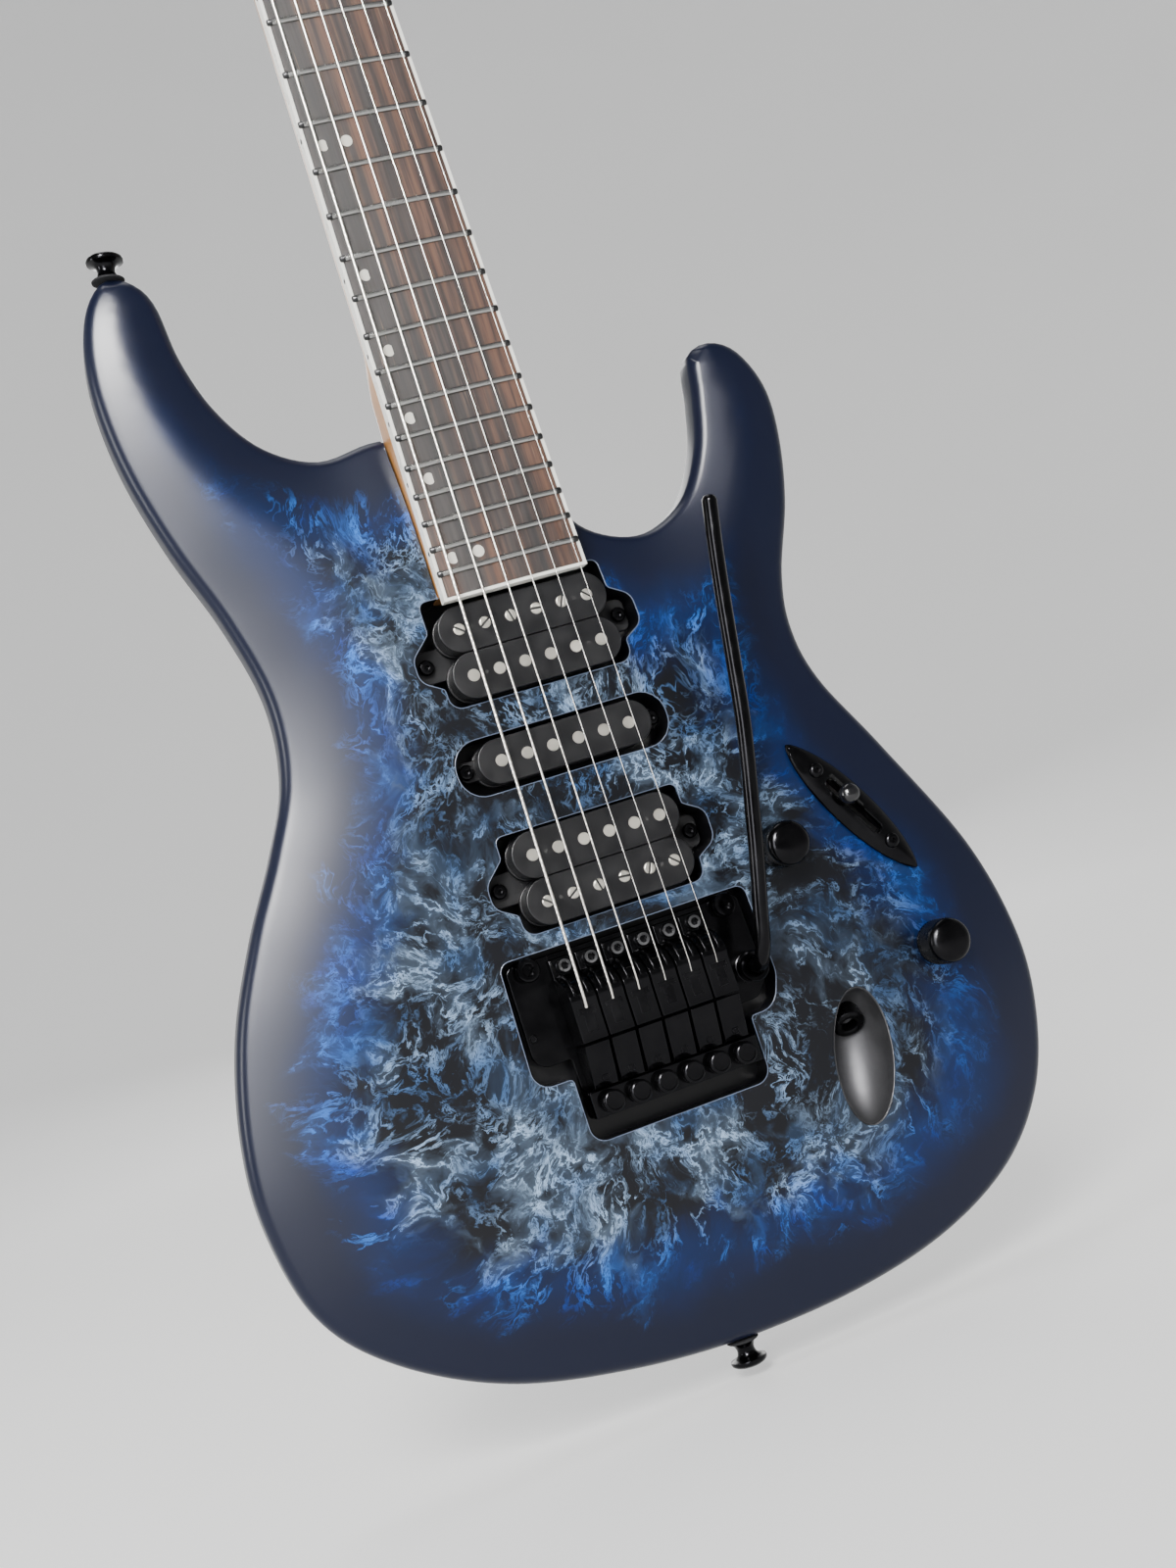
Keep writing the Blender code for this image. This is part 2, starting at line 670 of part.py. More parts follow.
def make_fingerboard():
    board = board_slab("fingerboard", BOARD_END_Z + BINDING, -GAP, BINDING + GAP / 2, BOARD_THICKNESS)
    cut(board, fret_comb("fret_slot_cut", GAP, -2, 1.1))
    finish(board, "rosewood")

    binding = board_slab("fingerboard_binding", BOARD_END_Z, -GAP, 0.0, BOARD_THICKNESS)
    top = board_half_width(4) - BINDING + GAP / 2
    end = board_half_width(BOARD_END_Z) - BINDING + GAP / 2
    end_z = BOARD_END_Z + BINDING - GAP
    inner = [(-top, 4), (top, 4), (end, end_z), (-end, end_z)]
    cut(binding, prism("binding_cut", inner, -10, 20))
    finish(binding, "cream_binding")


def make_frets():
    bm = bmesh.new()
    columns = 2
    for number in range(1, FRET_COUNT + 1):
        z = fret_z(number)
        half = board_half_width(z) - 0.4
        rings = []
        for step in range(columns + 1):
            x = half * (2 * step / columns - 1)
            foot = camber(x) - GAP
            top = camber(x) - FRET_HEIGHT
            section = [(foot, 1.2), (top, 0.6), (top, -0.6), (foot, -1.2)]
            rings.append([bm.verts.new(Vector((x, y, z + dz)) * MM) for y, dz in section])
        for first, second in zip(rings, rings[1:]):
            for index in range(4):
                following = (index + 1) % 4
                bm.faces.new((first[index], first[following], second[following], second[index]))
        bm.faces.new(rings[0])
        bm.faces.new(reversed(rings[-1]))
    bmesh.ops.recalc_face_normals(bm, faces=bm.faces)
    frets = object_from_bmesh("frets", bm)
    union(frets, fret_comb("fret_comb", 0.0, -0.8, 0.8))
    finish(frets, "nickel_fret")


def make_nut():
    """Locking nut: a base under the strings and three clamps bolted over them."""
    half = NUT_WIDTH / 2
    nut = box("nut", (-half, NUT_TOP_Y, 0.0), (half, BOARD_THICKNESS + GAP - 0.6, NUT_LENGTH - 2))
    tops = []
    for pair in range(3):
        x = (pair - 1) * 2 * STRING_PITCH_NUT
        clamp_y = NUT_TOP_Y - 2 * GAP - max(STRING_GAUGES)
        tops.append(box(f"clamp_{pair}", (x - 6.4, clamp_y - 4.2, 1.0), (x + 6.4, clamp_y, NUT_LENGTH - 3)))
        tops.append(rod(f"clamp_screw_{pair}", (x, clamp_y - 5.4, 6.5), (x, 2, 6.5), 2.4, 12))
    union(nut, *tops)
    finish(nut, "black_metal")


def make_neck_plate():
    outline = rounded([(-22, -440, 6), (4, -446, 6), (22, -470, 6), (22, -491, 6), (-22, -491, 6)], 3)
    plate = arched_sheet("neck_plate", outline, body_back_y, 5 * GAP, 5 * GAP + 2.2, 14.0)
    bolts = []
    for index, (x, z) in enumerate(NECK_BOLTS):
        back = body_back_y(Vector((x, z)))
        bolt = turned(f"neck_bolt_{index}", [(0, back + 5.0), (3.2, back + 5.0), (4.6, back + 4.0),
                                             (4.6, back + 2.4), (2.4, back + 2.4), (2.4, 12.5), (0, 12.0)],
                      (x, 0, z), (0, 1, 0), 10)
        bolts.append(bolt)
    union(plate, *bolts)
    finish(plate, "black_metal")


# ---------------------------------------------------------------- tuners
def make_tuners():
    along = post_line()
    turn = Matrix.Rotation(math.atan2(along.x, along.y), 4, "Y")
    back = HEAD_THICKNESS + GAP
    rail_frame = head_matrix() @ Matrix.Translation(
        Vector((post_place(6)[0], 0, post_place(6)[1])) * MM) @ turn
    pitch = (Vector(post_place(1)) - Vector(post_place(6))).length / 5
    rail = prism("tuner_rail", rounded([(-9, -10, 2), (7, -10, 2), (7, 5 * pitch + 10, 2),
                                        (-9, 5 * pitch + 10, 2)], 2), back, back + 1.6)
    housings = []
    for index in range(6):
        housing = rounded([(-11, index * pitch - 7, 2), (6, index * pitch - 7, 2),
                           (6, index * pitch + 7, 2), (-11, index * pitch + 7, 2)], 2)
        housings.append(prism(f"gear_housing_{index}", housing, back + 0.8, back + 9.5))
    union(rail, *housings)
    apply_modifiers(rail)
    rail.data.transform(rail_frame)
    finish(rail, "black_metal")

    for number in range(1, 7):
        offset = (6 - number) * pitch
        place = rail_frame @ (Vector((0, 0, offset)) * MM) / MM
        foot = -HEAD_THICKNESS + GAP
        profile = [(0, 11), (2.2, 11), (3, 10.2), (3, 8.6), (2.5, 7.6), (2.5, 5.6), (3, 4.6), (3, foot),
                   (0, foot)]
        post = turned(f"tuner_post_{number}", profile, (0, 0, offset), (0, -1, 0), 10)
        post.data.transform(rail_frame)
        finish(post, "black_metal", place)

        shaft_y = back + 5.2
        centre = Vector((-11 - GAP, shaft_y, offset))
        profile = [(0, 19), (3.4, 18.6), (5.0, 16.5), (5.4, 12), (4.6, 8), (2.0, 5), (2.0, 0), (0, 0)]
        button = turned(f"tuner_button_{number}", profile, (0, 0, 0), (-1, 0, 0), 10)
        button.data.transform(Matrix.Diagonal((1, 1, 1.5, 1)))
        button.data.transform(rail_frame @ Matrix.Translation(centre * MM))
        finish(button, "black_metal", rail_frame @ (centre * MM) / MM)


# ---------------------------------------------------------------- strings
def make_strings():
    for number in range(1, 7):
        radius = STRING_GAUGES[number - 1] / 2
        saddle_y = SADDLE_CREST[0] - GAP - radius
        nut_y = NUT_TOP_Y - GAP - radius
        place = post_place(number)
        post = head_matrix() @ (Vector((place[0] + POST_RADIUS + GAP + radius, -6.6, place[1])) * MM) / MM
        behind_nut = Vector((string_x(number, NUT_LENGTH), nut_y, NUT_LENGTH))
        path = [Vector((string_x(number, SADDLE_CREST[1] - 1.0), saddle_y, SADDLE_CREST[1] - 1.0)),
                Vector((string_x(number, 0), nut_y, 0)), behind_nut,
                behind_nut.lerp(post, 0.12) + Vector((0, 0.6, 0)), post + (post - behind_nut) * 0.01]
        string = tube(f"string_{number}", path, radius, 1)
        finish(string, "steel_string")


# ---------------------------------------------------------------- tremolo
def tremolo_recess():
    return rounded([
        (-51, -631.6, 4), (51, -631.6, 4), (52.6, -668, 12), (48, -680.5, 9), (37.2, -680.5, 1.5),
        (37.2, -706, 6), (-37.2, -706, 6), (-37.2, -680.5, 1.5), (-52.2, -680.5, 7)])


def make_tremolo_plate():
    outline = rounded([
        (-48.6, -636, 2), (-46.5, -633.8, 2), (46.5, -633.8, 2), (48.6, -636, 2), (50, -668, 5),
        (44, -675, 5), (34.5, -675.2, 1), (34.5, -697.5, 2), (-34.5, -697.5, 2), (-34.5, -673.6, 1),
        (-48.8, -673.6, 6)], 3)
    plate = prism("tremolo_plate", outline, *PLATE_Y)
    block = box("block", (-33, PLATE_Y[1] - 0.6, -662), (33, BLOCK_Y, -646))
    bar = box("fine_tuner_bar", (-34.5, 2.8, -697), (34.5, 6.0, -687))
    cheeks = [box(f"cheek_{side}", (min(side * 32.7, side * 34.5), 4, -697),
                  (max(side * 32.7, side * 34.5), 13, -687)) for side in (-1, 1)]
    x, z = ARM_SOCKET
    socket = rod("arm_socket", (x, 3.6, z), (x, 16.6, z), 6.1, 14)
    union(plate, block, bar, *cheeks, socket)
    tools = [rod("arm_bore_cut", (x, 0, z), (x, 15.4, z), 3.35, 12)]
    for side in (-1, 1):
        stud = side * STUD_X
        tools.append(rod(f"knife_edge_cut_{side}", (stud, 0, STUD_Z), (stud, 30, STUD_Z), 3.9, 12))
        tools.append(box(f"knife_mouth_cut_{side}", (stud - 3.7, -1, STUD_Z), (stud + 3.7, 31, STUD_Z + 7)))
    for number in range(1, 7):
        near = Vector((fine_tuner_x(number), 0, FINE_TUNER_Z))
        tools.append(rod(f"fine_hole_cut_{number}", near, near + Vector((0, 8, 0)), 1.9, 8))
    cut(plate, *tools)
    apply_modifiers(plate)
    finish(plate, "black_metal", PIVOT)


def fine_tuner_x(number):
    return (3.5 - number) * (STRING_PITCH_BRIDGE + 0.1)


def make_saddles():
    foot = PLATE_Y[0] - GAP
    crest_y, crest_z = SADDLE_CREST
    profile = [
        (foot, -635.8), (foot - 1.6, -635.8), (foot - 1.8, -643.2), (2.0, -645.6), (-2.4, -649.6),
        (crest_y, crest_z), (-2.9, -656), (-2.4, -669.0), (1.6, -669.6), (3.2, -684.0), (9.4, -686.6),
        (9.4, -695.8), (foot, -695.8)]
    for number in range(1, 7):
        x = string_x(number, crest_z)
        saddle = side_prism(f"saddle_{number}", profile, x - 5.1, x + 5.1)
        screw = turned(f"saddle_screw_{number}", [(0, 3.0), (2.4, 3.0), (2.8, 2.5), (2.8, -1.0), (0, -1.0)],
                       (x, foot - 1.7, -639.4), (0, -1, 0), 12)
        union(saddle, screw)
        finish(saddle, "black_metal")


def make_fine_tuners():
    for number in range(1, 7):
        x = fine_tuner_x(number)
        profile = [(0, 4.8), (3.7, 4.8), (4.35, 4.2), (4.35, 0.3), (4.0, 0.0), (1.5, 0.0), (1.5, -6.3),
                   (0, -6.3)]
        tuner = turned(f"fine_tuner_{number}", profile, (x, 2.5, FINE_TUNER_Z), (0, -1, 0), 12)
        finish(tuner, "black_metal", (x, 2.5, FINE_TUNER_Z))


def make_studs():
    for name, side in (("stud_bass", -1), ("stud_treble", 1)):
        profile = [(0, 6.6), (2.4, 6.6), (2.4, 8.4), (4.2, 8.4), (4.6, 7.9), (4.6, 5.4), (3.5, 4.9),
                   (3.5, -22), (0, -22)]
        stud = turned(name, profile, (side * STUD_X, 15.0, STUD_Z), (0, -1, 0), 16)
        finish(stud, "black_metal")


def make_arm():
    """The bent rod: it rises from its socket, bends over and rises slowly towards the head."""
    x, z = ARM_SOCKET
    path = [(x, 15.0, z), (x, 1.0, z), (x + 0.2, -3.5, z + 1.3), (x + 0.7, -6.6, z + 4.4),
            (x + 1.9, -8.6, z + 9.5), (47.3, -10.2, -643.0), (50.8, -12.2, -627.5), (54.1, -13.5, -612.9),
            (61.7, -16.5, -576.7), (66.0, -18.0, -549.6), (69.4, -19.0, -527.5), (73.0, -20.1, -506.0),
            (76.2, -21.0, -489.5)]
    arm = tube("tremolo_arm", path, 3.0, 2)
    tip = turned("arm_tip", [(0, 2.4), (1.6, 2.1), (2.7, 0.9), (3.0, -0.6), (0, -0.6)], path[-1],
                 Vector((3.2, -0.9, 16.5)), 12)
    union(arm, tip)
    apply_modifiers(arm)
    finish(arm, "black_metal", (x, 5.0, z))


def make_springs():
    for index, x in enumerate(SPRING_X):
        claw_end = (x, SPRING_Y, CLAW_Z - GAP)
        block_end = (x, SPRING_Y, -646 + GAP)
        spring = rod(f"tremolo_spring_{index + 1}", claw_end, block_end, 3.8, 12)
        finish(spring, "spring_steel")
    claw = box("spring_claw", (-30, 31, CLAW_Z), (30, 40, CLAW_Z + 1.8))
    screws = [rod(f"claw_screw_{side}", (side * 10, SPRING_Y, CLAW_Z - 2.6),
                  (side * 10, SPRING_Y, -537 - GAP), 2.4, 12) for side in (-1, 1)]
    union(claw, *screws)
    finish(claw, "spring_steel")


# ---------------------------------------------------------------- pickups
def bobbin_outline(half_length, z_low, z_high):
    radius = (z_high - z_low) / 2 - 0.1
    return rounded([(-half_length, z_low, radius), (half_length, z_low, radius),
                    (half_length, z_high, radius), (-half_length, z_high, radius)], 3)


def pad_outline(half_length, centre_z, half_width, radius):
    corners = [(half_length * across, centre_z + half_width * along, radius)
               for across, along in ((-1, -1), (1, -1), (1, 1), (-1, 1))]
    return rounded(corners, 2)


def pole(name, number, top_y, z):
    x = (3.5 - number) * PICKUP_POLE_PITCH
    return rod(name, (x, top_y, z), (x, PICKUP_TOP_Y + 3, z), 2.4, 6)


def make_humbucker(name, centre_z):
    pickup = prism(name, bobbin_outline(34.4, centre_z - 18.4, centre_z - 0.1), PICKUP_TOP_Y, 18)
    upper = prism("upper_bobbin", bobbin_outline(34.4, centre_z + 0.1, centre_z + 18.4), PICKUP_TOP_Y, 18)
    base = prism("base_plate", pad_outline(34, centre_z, 18, 2), 15, 19.5)
    ears = prism("ears", pad_outline(44, centre_z, 6.5, 3), 18, 20)
    screws = [rod(f"height_screw_{side}", (side * 40, 15.5, centre_z),
                  (side * 40, PICKUP_CAVITY_Y - GAP, centre_z), 1.8, 8) for side in (-1, 1)]
    poles = [pole(f"pole_{row}_{number}", number, PICKUP_TOP_Y - 0.5, centre_z + row * HUMBUCKER_ROWS / 2)
             for row in (-1, 1) for number in range(1, 7)]
    union(pickup, upper, base, ears, *screws, *poles)
    finish(pickup, "pickup_plastic")


def make_middle_pickup():
    z = MIDDLE_PICKUP_Z
    pickup = prism("middle_pickup", bobbin_outline(35.5, z - 8.6, z + 8.6), PICKUP_TOP_Y, 18)
    flange = prism("flange", pad_outline(41, z, 4, 3), 15, 17)
    screws = [rod(f"height_screw_{side}", (side * 38.6, 13, z),
                  (side * 38.6, PICKUP_CAVITY_Y - GAP, z), 1.6, 8) for side in (-1, 1)]
    poles = [pole(f"pole_{number}", number, PICKUP_TOP_Y - 0.4, z) for number in range(1, 7)]
    union(pickup, flange, *screws, *poles)
    finish(pickup, "pickup_plastic")


# ---------------------------------------------------------------- controls
def make_knobs_and_pots():
    for kind, (x, z) in (("volume", VOLUME_XZ), ("tone", TONE_XZ)):
        height = KNOB_BASE_Y - KNOB_TOP_Y
        knob = turned(f"{kind}_knob", [(0, height), (5.5, height - 0.2), (7.6, height - 1.0),
                                       (8.6, height - 2.4), (KNOB_RADIUS, height - 4.2), (KNOB_RADIUS, 0),
                                       (2.9, 0), (2.9, -9.5), (0, -9.5)],
                      (x, KNOB_BASE_Y, z), (0, -1, 0), 20)
        finish(knob, "black_metal", (x, KNOB_BASE_Y, z))
        bushing = KNOB_BASE_Y + 0.4
        pot = turned(f"{kind}_pot", [(0, -10.5), (3.25, -10.5), (3.25, 0), (4.2, 0), (4.2, -8.4), (12, -8.4),
                                     (12, -17), (0, -17)],
                     (x, bushing, z), (0, -1, 0), 18)
        finish(pot, "pot_steel")


def lens_outline(half_length, half_width, count=8):
    """The switch plate's leaf shape, with blunt round tips."""
    across = SWITCH_ALONG.cross(Vector((0, 1, 0)))
    points = []
    for side in (-1, 1):
        for step in range(count + 1):
            t = 2 * step / count - 1
            width = half_width * (1 - abs(t) ** 2.2) ** 0.75 if abs(t) < 1 else 0.0
            place = switch_point(t * half_length * -side, 0) + across * width * side
            if abs(t) < 1 or side < 0:
                points.append((place.x, place.z))
    return points


def make_switch():
    plate = arched_sheet("switch_plate", lens_outline(36.5, 8.6, 12), body_front_y, -3.2, -GAP, 9.0)
    housing = box("switch_housing", (-25, 22, -7), (25, 40, 7))
    channel = box("switch_channel_cut", (-22, 10, -2.2), (22, 37.5, 2.2))
    middle = Vector((SWITCH_XZ[0], 0, SWITCH_XZ[1])) * MM
    turn = Matrix.Translation(middle) @ SWITCH_TURN
    housing.data.transform(turn)
    channel.data.transform(turn)
    slot = box("plate_slot_cut", (-14.6, -5, -1.9), (14.6, 15, 1.9))
    slot.data.transform(turn)
    screws = []
    for side in (-1, 1):
        along = side * SWITCH_SCREW
        place = switch_point(along, 0)
        top = body_front_y(Vector((place.x, place.z)))
        neck_end = switch_point(along, top - 1.6)
        screws.append(rod(f"switch_screw_{side}", neck_end, switch_point(along, 24), 1.5, 8))
        screws.append(rod(f"switch_screw_head_{side}", switch_point(along, top - 4.6),
                          switch_point(along, top - 2.0), 2.6, 12, 3.0))
    cut(plate, slot)
    union(plate, housing, *screws)
    cut(plate, channel)
    finish(plate, "black_metal")

    lever_frame = (Matrix.Translation(switch_point(0, SWITCH_PIVOT_Y) * MM) @ SWITCH_TURN
                   @ Matrix.Rotation(SWITCH_REST, 4, "Z"))
    lever = box("switch_lever", (-1.6, -29, -1.2), (1.6, 2.0, 1.2))
    tip_profile = [(0, 34), (2.4, 33.6), (3.8, 32.2), (4.2, 30.8), (4.2, 29.2), (3.4, 28.2), (0, 28.2)]
    tip = turned("lever_tip", tip_profile, (0, 0, 0), (0, -1, 0), 14)
    hub = rod("lever_hub", (0, 0, -1.7), (0, 0, 1.7), 3.0, 12)
    union(lever, tip, hub)
    apply_modifiers(lever)
    lever.data.transform(lever_frame)
    finish(lever, "black_metal", switch_point(0, SWITCH_PIVOT_Y))


def make_jack():
    cup = jack_bowl("jack_cup", 12.2, 26.7, 19.1)
    keep = prism("bowl_keep", jack_ellipse(13, 28), BODY_FRONT_CENTRE + 0.45, 40)
    combine(cup, [keep], "INTERSECT")
    barrel = rod("jack_barrel", JACK_FACE + JACK_OUT * 1.0, JACK_FACE - JACK_OUT * 20, 6.6, 12)
    cut(cup, jack_bowl("bowl_hollow_cut", 11.15, 25.45, 17.3))
    union(cup, barrel)
    cut(cup, rod("jack_bore_cut", JACK_FACE + JACK_OUT * 14, JACK_FACE - JACK_OUT * 17, 3.2, 12))
    finish(cup, "black_plastic")


# ---------------------------------------------------------------- trim
def make_strap_buttons():
    profile = [(0, 11.0), (3.6, 11.0), (6.0, 10.0), (7.2, 8.6), (7.0, 7.6), (4.2, 6.6), (3.4, 4.6),
               (4.0, 2.4), (5.4, 0.8), (5.6, 0), (0, 0)]
    upper = turned("strap_button_upper", profile, UPPER_BUTTON, UPPER_BUTTON_AXIS, 14)
    finish(upper, "black_metal")
    lower = turned("strap_button_lower", profile, LOWER_BUTTON, (0, 0, -1), 14)
    finish(lower, "black_metal")


def tremolo_cover_outline(grow):
    return rounded([(-41 - grow, -531 + grow, 6), (41 + grow, -531 + grow, 6), (41 + grow, -680 - grow, 6),
                    (-41 - grow, -680 - grow, 6)], 3)


def make_covers():
    depth = -COVER_THICKNESS - GAP
    cover = arched_sheet("tremolo_cover", tremolo_cover_outline(0), body_back_y, depth, -GAP, 20)
    finish(cover, "black_plastic")
    cover = arched_sheet("control_cover", control_outline(5), body_back_y, depth, -GAP, 14)
    finish(cover, "black_plastic")


clear_scene()
GUITAR = make_collection("electric_guitar")
CUTTERS = make_collection("cutters")
MATERIAL = {name: make_material(name) for name in MATERIALS}
BODY_LOOP = smooth_loop(BODY_OUTLINE, 14.0)

make_body()
make_neck()
make_fingerboard()
make_frets()
make_nut()
make_neck_plate()
make_tuners()
make_strings()
make_tremolo_plate()
make_saddles()
make_fine_tuners()
make_studs()
make_arm()
make_springs()
make_humbucker("neck_pickup", NECK_PICKUP_Z)
make_middle_pickup()
make_humbucker("bridge_pickup", BRIDGE_PICKUP_Z)
make_knobs_and_pots()
make_switch()
make_jack()
make_strap_buttons()
make_covers()
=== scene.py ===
"""Visual model of the electric guitar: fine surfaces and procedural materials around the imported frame.

Coordinates are the frame's, written in millimetres and scaled by MM when a piece is made:
+Z runs up the neck from the nut, -Y leaves the strings' side and +X is the treble side.
"""
import math

import bmesh
import bpy
import json
import numpy as np
from mathutils import Matrix, Vector
from mathutils.geometry import delaunay_2d_cdt


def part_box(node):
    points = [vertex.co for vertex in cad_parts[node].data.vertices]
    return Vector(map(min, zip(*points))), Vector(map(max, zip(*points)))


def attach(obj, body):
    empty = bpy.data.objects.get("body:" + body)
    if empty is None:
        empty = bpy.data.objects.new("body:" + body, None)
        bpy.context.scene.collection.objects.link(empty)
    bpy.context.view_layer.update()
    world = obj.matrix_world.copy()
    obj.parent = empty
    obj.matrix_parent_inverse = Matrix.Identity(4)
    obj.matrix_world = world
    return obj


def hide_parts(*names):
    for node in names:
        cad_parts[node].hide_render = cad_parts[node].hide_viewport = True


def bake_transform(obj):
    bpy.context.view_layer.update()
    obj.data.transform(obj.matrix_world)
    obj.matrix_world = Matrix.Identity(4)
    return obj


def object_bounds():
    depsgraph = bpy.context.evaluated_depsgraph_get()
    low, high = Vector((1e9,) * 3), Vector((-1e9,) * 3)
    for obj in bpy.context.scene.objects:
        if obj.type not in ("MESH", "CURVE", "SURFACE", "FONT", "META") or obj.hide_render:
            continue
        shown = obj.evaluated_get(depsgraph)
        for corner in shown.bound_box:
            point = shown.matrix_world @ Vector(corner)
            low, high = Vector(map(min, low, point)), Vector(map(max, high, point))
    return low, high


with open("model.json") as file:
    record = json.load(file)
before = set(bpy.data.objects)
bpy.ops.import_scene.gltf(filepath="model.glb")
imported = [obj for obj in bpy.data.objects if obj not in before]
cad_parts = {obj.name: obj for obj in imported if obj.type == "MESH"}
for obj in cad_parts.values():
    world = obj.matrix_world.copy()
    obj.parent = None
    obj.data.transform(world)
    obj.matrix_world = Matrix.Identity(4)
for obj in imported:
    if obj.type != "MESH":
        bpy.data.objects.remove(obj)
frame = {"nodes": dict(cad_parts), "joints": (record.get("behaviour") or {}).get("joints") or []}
CAD_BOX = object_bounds()
MM = 0.001
GAP = 0.3


def low(node):
    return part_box(node)[0] / MM


def high(node):
    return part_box(node)[1] / MM


def middle(node):
    return (low(node) + high(node)) / 2


def joint(name):
    return next(j for j in frame["joints"] if j["name"] == name)


# ---------------------------------------------------------------- driving dimensions, from the frame
SCALE_LENGTH = 648.0
FRET_COUNT = 24
BOARD_END_Z = low("fingerboard_binding").z
NUT_WIDTH = 43.0
BOARD_END_WIDTH = high("fingerboard_binding").x - low("fingerboard_binding").x
BOARD_THICKNESS = high("fingerboard").y
BOARD_RADIUS = 430.0
BINDING = 1.5
FRONT_Y = low("body").y
BACK_Y = high("body").y
FRONT_EDGE = FRONT_Y + 8.5
BACK_EDGE = BACK_Y - 13.0
RIM_ROUND = 4.0
STRING_GAUGES = (0.254, 0.330, 0.432, 0.660, 0.914, 1.168)
BRIDGE_PITCH = 10.8
NUT_PITCH = 7.1
CREST = (-3.4, -652.0)          # y, z of the saddle crests
NUT_TOP_Y = -1.2
HEAD_TILT = math.radians(11.0)
HEAD_START = Vector((0.0, 6.0, 14.0))
HEAD_THICKNESS = 14.0
POLE_PITCH = 10.5
PICKUP_TOP_Y = low("middle_pickup").y + 0.4
NECK_PICKUP_Z = middle("neck_pickup").z
MIDDLE_PICKUP_Z = middle("middle_pickup").z
BRIDGE_PICKUP_Z = middle("bridge_pickup").z
STUD_X = middle("stud_treble").x
STUD_Z = middle("stud_treble").z
PLATE_FRONT_Y = 12.0
VOLUME = Vector(joint("volume_turn")["pos_m"]) / MM
TONE = Vector(joint("tone_turn")["pos_m"]) / MM
SWITCH = Vector(joint("switch_throw")["pos_m"]) / MM
SWITCH_ALONG = Vector((0.519, 0.0, -0.855)).normalized()
SWITCH_TURN = Matrix.Rotation(math.atan2(-SWITCH_ALONG.z, SWITCH_ALONG.x), 4, "Y")
JACK = Vector((76.3, FRONT_Y, -709.7))
JACK_TILT = math.radians(12.0)
JACK_OUT = Vector((-math.sin(JACK_TILT), -1.0, -math.cos(JACK_TILT))).normalized()
JACK_FACE = JACK + Vector((2.4, 10.6, 12.4))
ARM = Vector(joint("arm_swing")["pos_m"]) / MM
BODY_OUTLINE = (
    (-20, -426.8), (-34, -425.6), (-55, -427.8), (-73.7, -417.8), (-86.4, -399.3), (-93.2, -377.6),
    (-95.8, -354.9), (-101.6, -345.0), (-110.8, -341.2), (-120.3, -349.5), (-126.6, -366),
    (-128.9, -388), (-126.5, -416), (-118.9, -447.7), (-108, -480), (-101.6, -512), (-105, -541.5),
    (-117, -567), (-134, -596), (-149, -628), (-158.2, -664.5), (-159.4, -697), (-151, -732),
    (-129, -757), (-93.3, -777.7), (-50, -789.4), (-3, -795.0), (48, -794.2), (91, -786.4),
    (125, -770.6), (147.5, -746.6), (159.3, -716), (161.8, -684), (153.4, -644), (131, -596),
    (114.3, -563), (110, -540), (114, -518), (126, -489), (132.6, -462), (133.2, -441),
    (126, -424), (115, -417.8), (105, -422), (101, -438.5), (95, -458.5), (83.4, -476.8),
    (67.5, -486.0), (53.8, -486.2), (39, -478.5), (29.5, -464), (17.5, -445.5), (0, -431.5),
)


# ---------------------------------------------------------------- material helpers
def add_node(tree, kind, inputs=None, **settings):
    """A node whose inputs are values or other nodes' output sockets."""
    node = tree.nodes.new(kind)
    for name, value in settings.items():
        setattr(node, name, value)
    for name, value in (inputs or {}).items():
        if isinstance(value, bpy.types.NodeSocket):
            tree.links.new(value, node.inputs[name])
        else:
            node.inputs[name].default_value = value
    return node


def maths(tree, operation, first, second=0.0, clamp=False):
    node = add_node(tree, "ShaderNodeMath", {0: first, 1: second}, operation=operation, use_clamp=clamp)
    return node.outputs[0]


def blend(tree, factor, first, second, mode="MIX"):
    """Mix two colours or colour sockets."""
    node = add_node(tree, "ShaderNodeMix", data_type="RGBA", blend_type=mode)
    for index, value in ((0, factor), (6, first), (7, second)):
        if isinstance(value, bpy.types.NodeSocket):
            tree.links.new(value, node.inputs[index])
        else:
            node.inputs[index].default_value = value if index == 0 else (*value, 1.0)
    return node.outputs[2]


def step_between(tree, value, start, end, out_low=0.0, out_high=1.0):
    """Smooth step of a value from start to end."""
    node = add_node(tree, "ShaderNodeMapRange", {"Value": value, "From Min": start, "From Max": end,
                                                 "To Min": out_low, "To Max": out_high},
                    interpolation_type="SMOOTHSTEP")
    return node.outputs["Result"]


def object_space(tree, scale=(1.0, 1.0, 1.0)):
    coordinate = add_node(tree, "ShaderNodeTexCoord").outputs["Object"]
    return add_node(tree, "ShaderNodeMapping", {"Vector": coordinate, "Scale": scale}).outputs["Vector"]


def noise(tree, vector, scale, detail=4.0, roughness=0.5, kind="FBM", output="Fac"):
    return add_node(tree, "ShaderNodeTexNoise",
                    {"Vector": vector, "Scale": scale, "Detail": detail, "Roughness": roughness},
                    noise_type=kind).outputs[output]


def bump(tree, height, strength, distance):
    return add_node(tree, "ShaderNodeBump", {"Height": height, "Strength": strength, "Distance": distance}
                    ).outputs["Normal"]


def new_material(name, roughness=0.5, metallic=0.0, coat=0.0, coat_roughness=0.1, specular=0.5):
    material = bpy.data.materials.new(name)
    material.use_nodes = True
    shader = material.node_tree.nodes["Principled BSDF"]
    shader.inputs["Roughness"].default_value = roughness
    shader.inputs["Metallic"].default_value = metallic
    shader.inputs["Coat Weight"].default_value = coat
    shader.inputs["Coat Roughness"].default_value = coat_roughness
    shader.inputs["Specular IOR Level"].default_value = specular
    return material, material.node_tree, shader


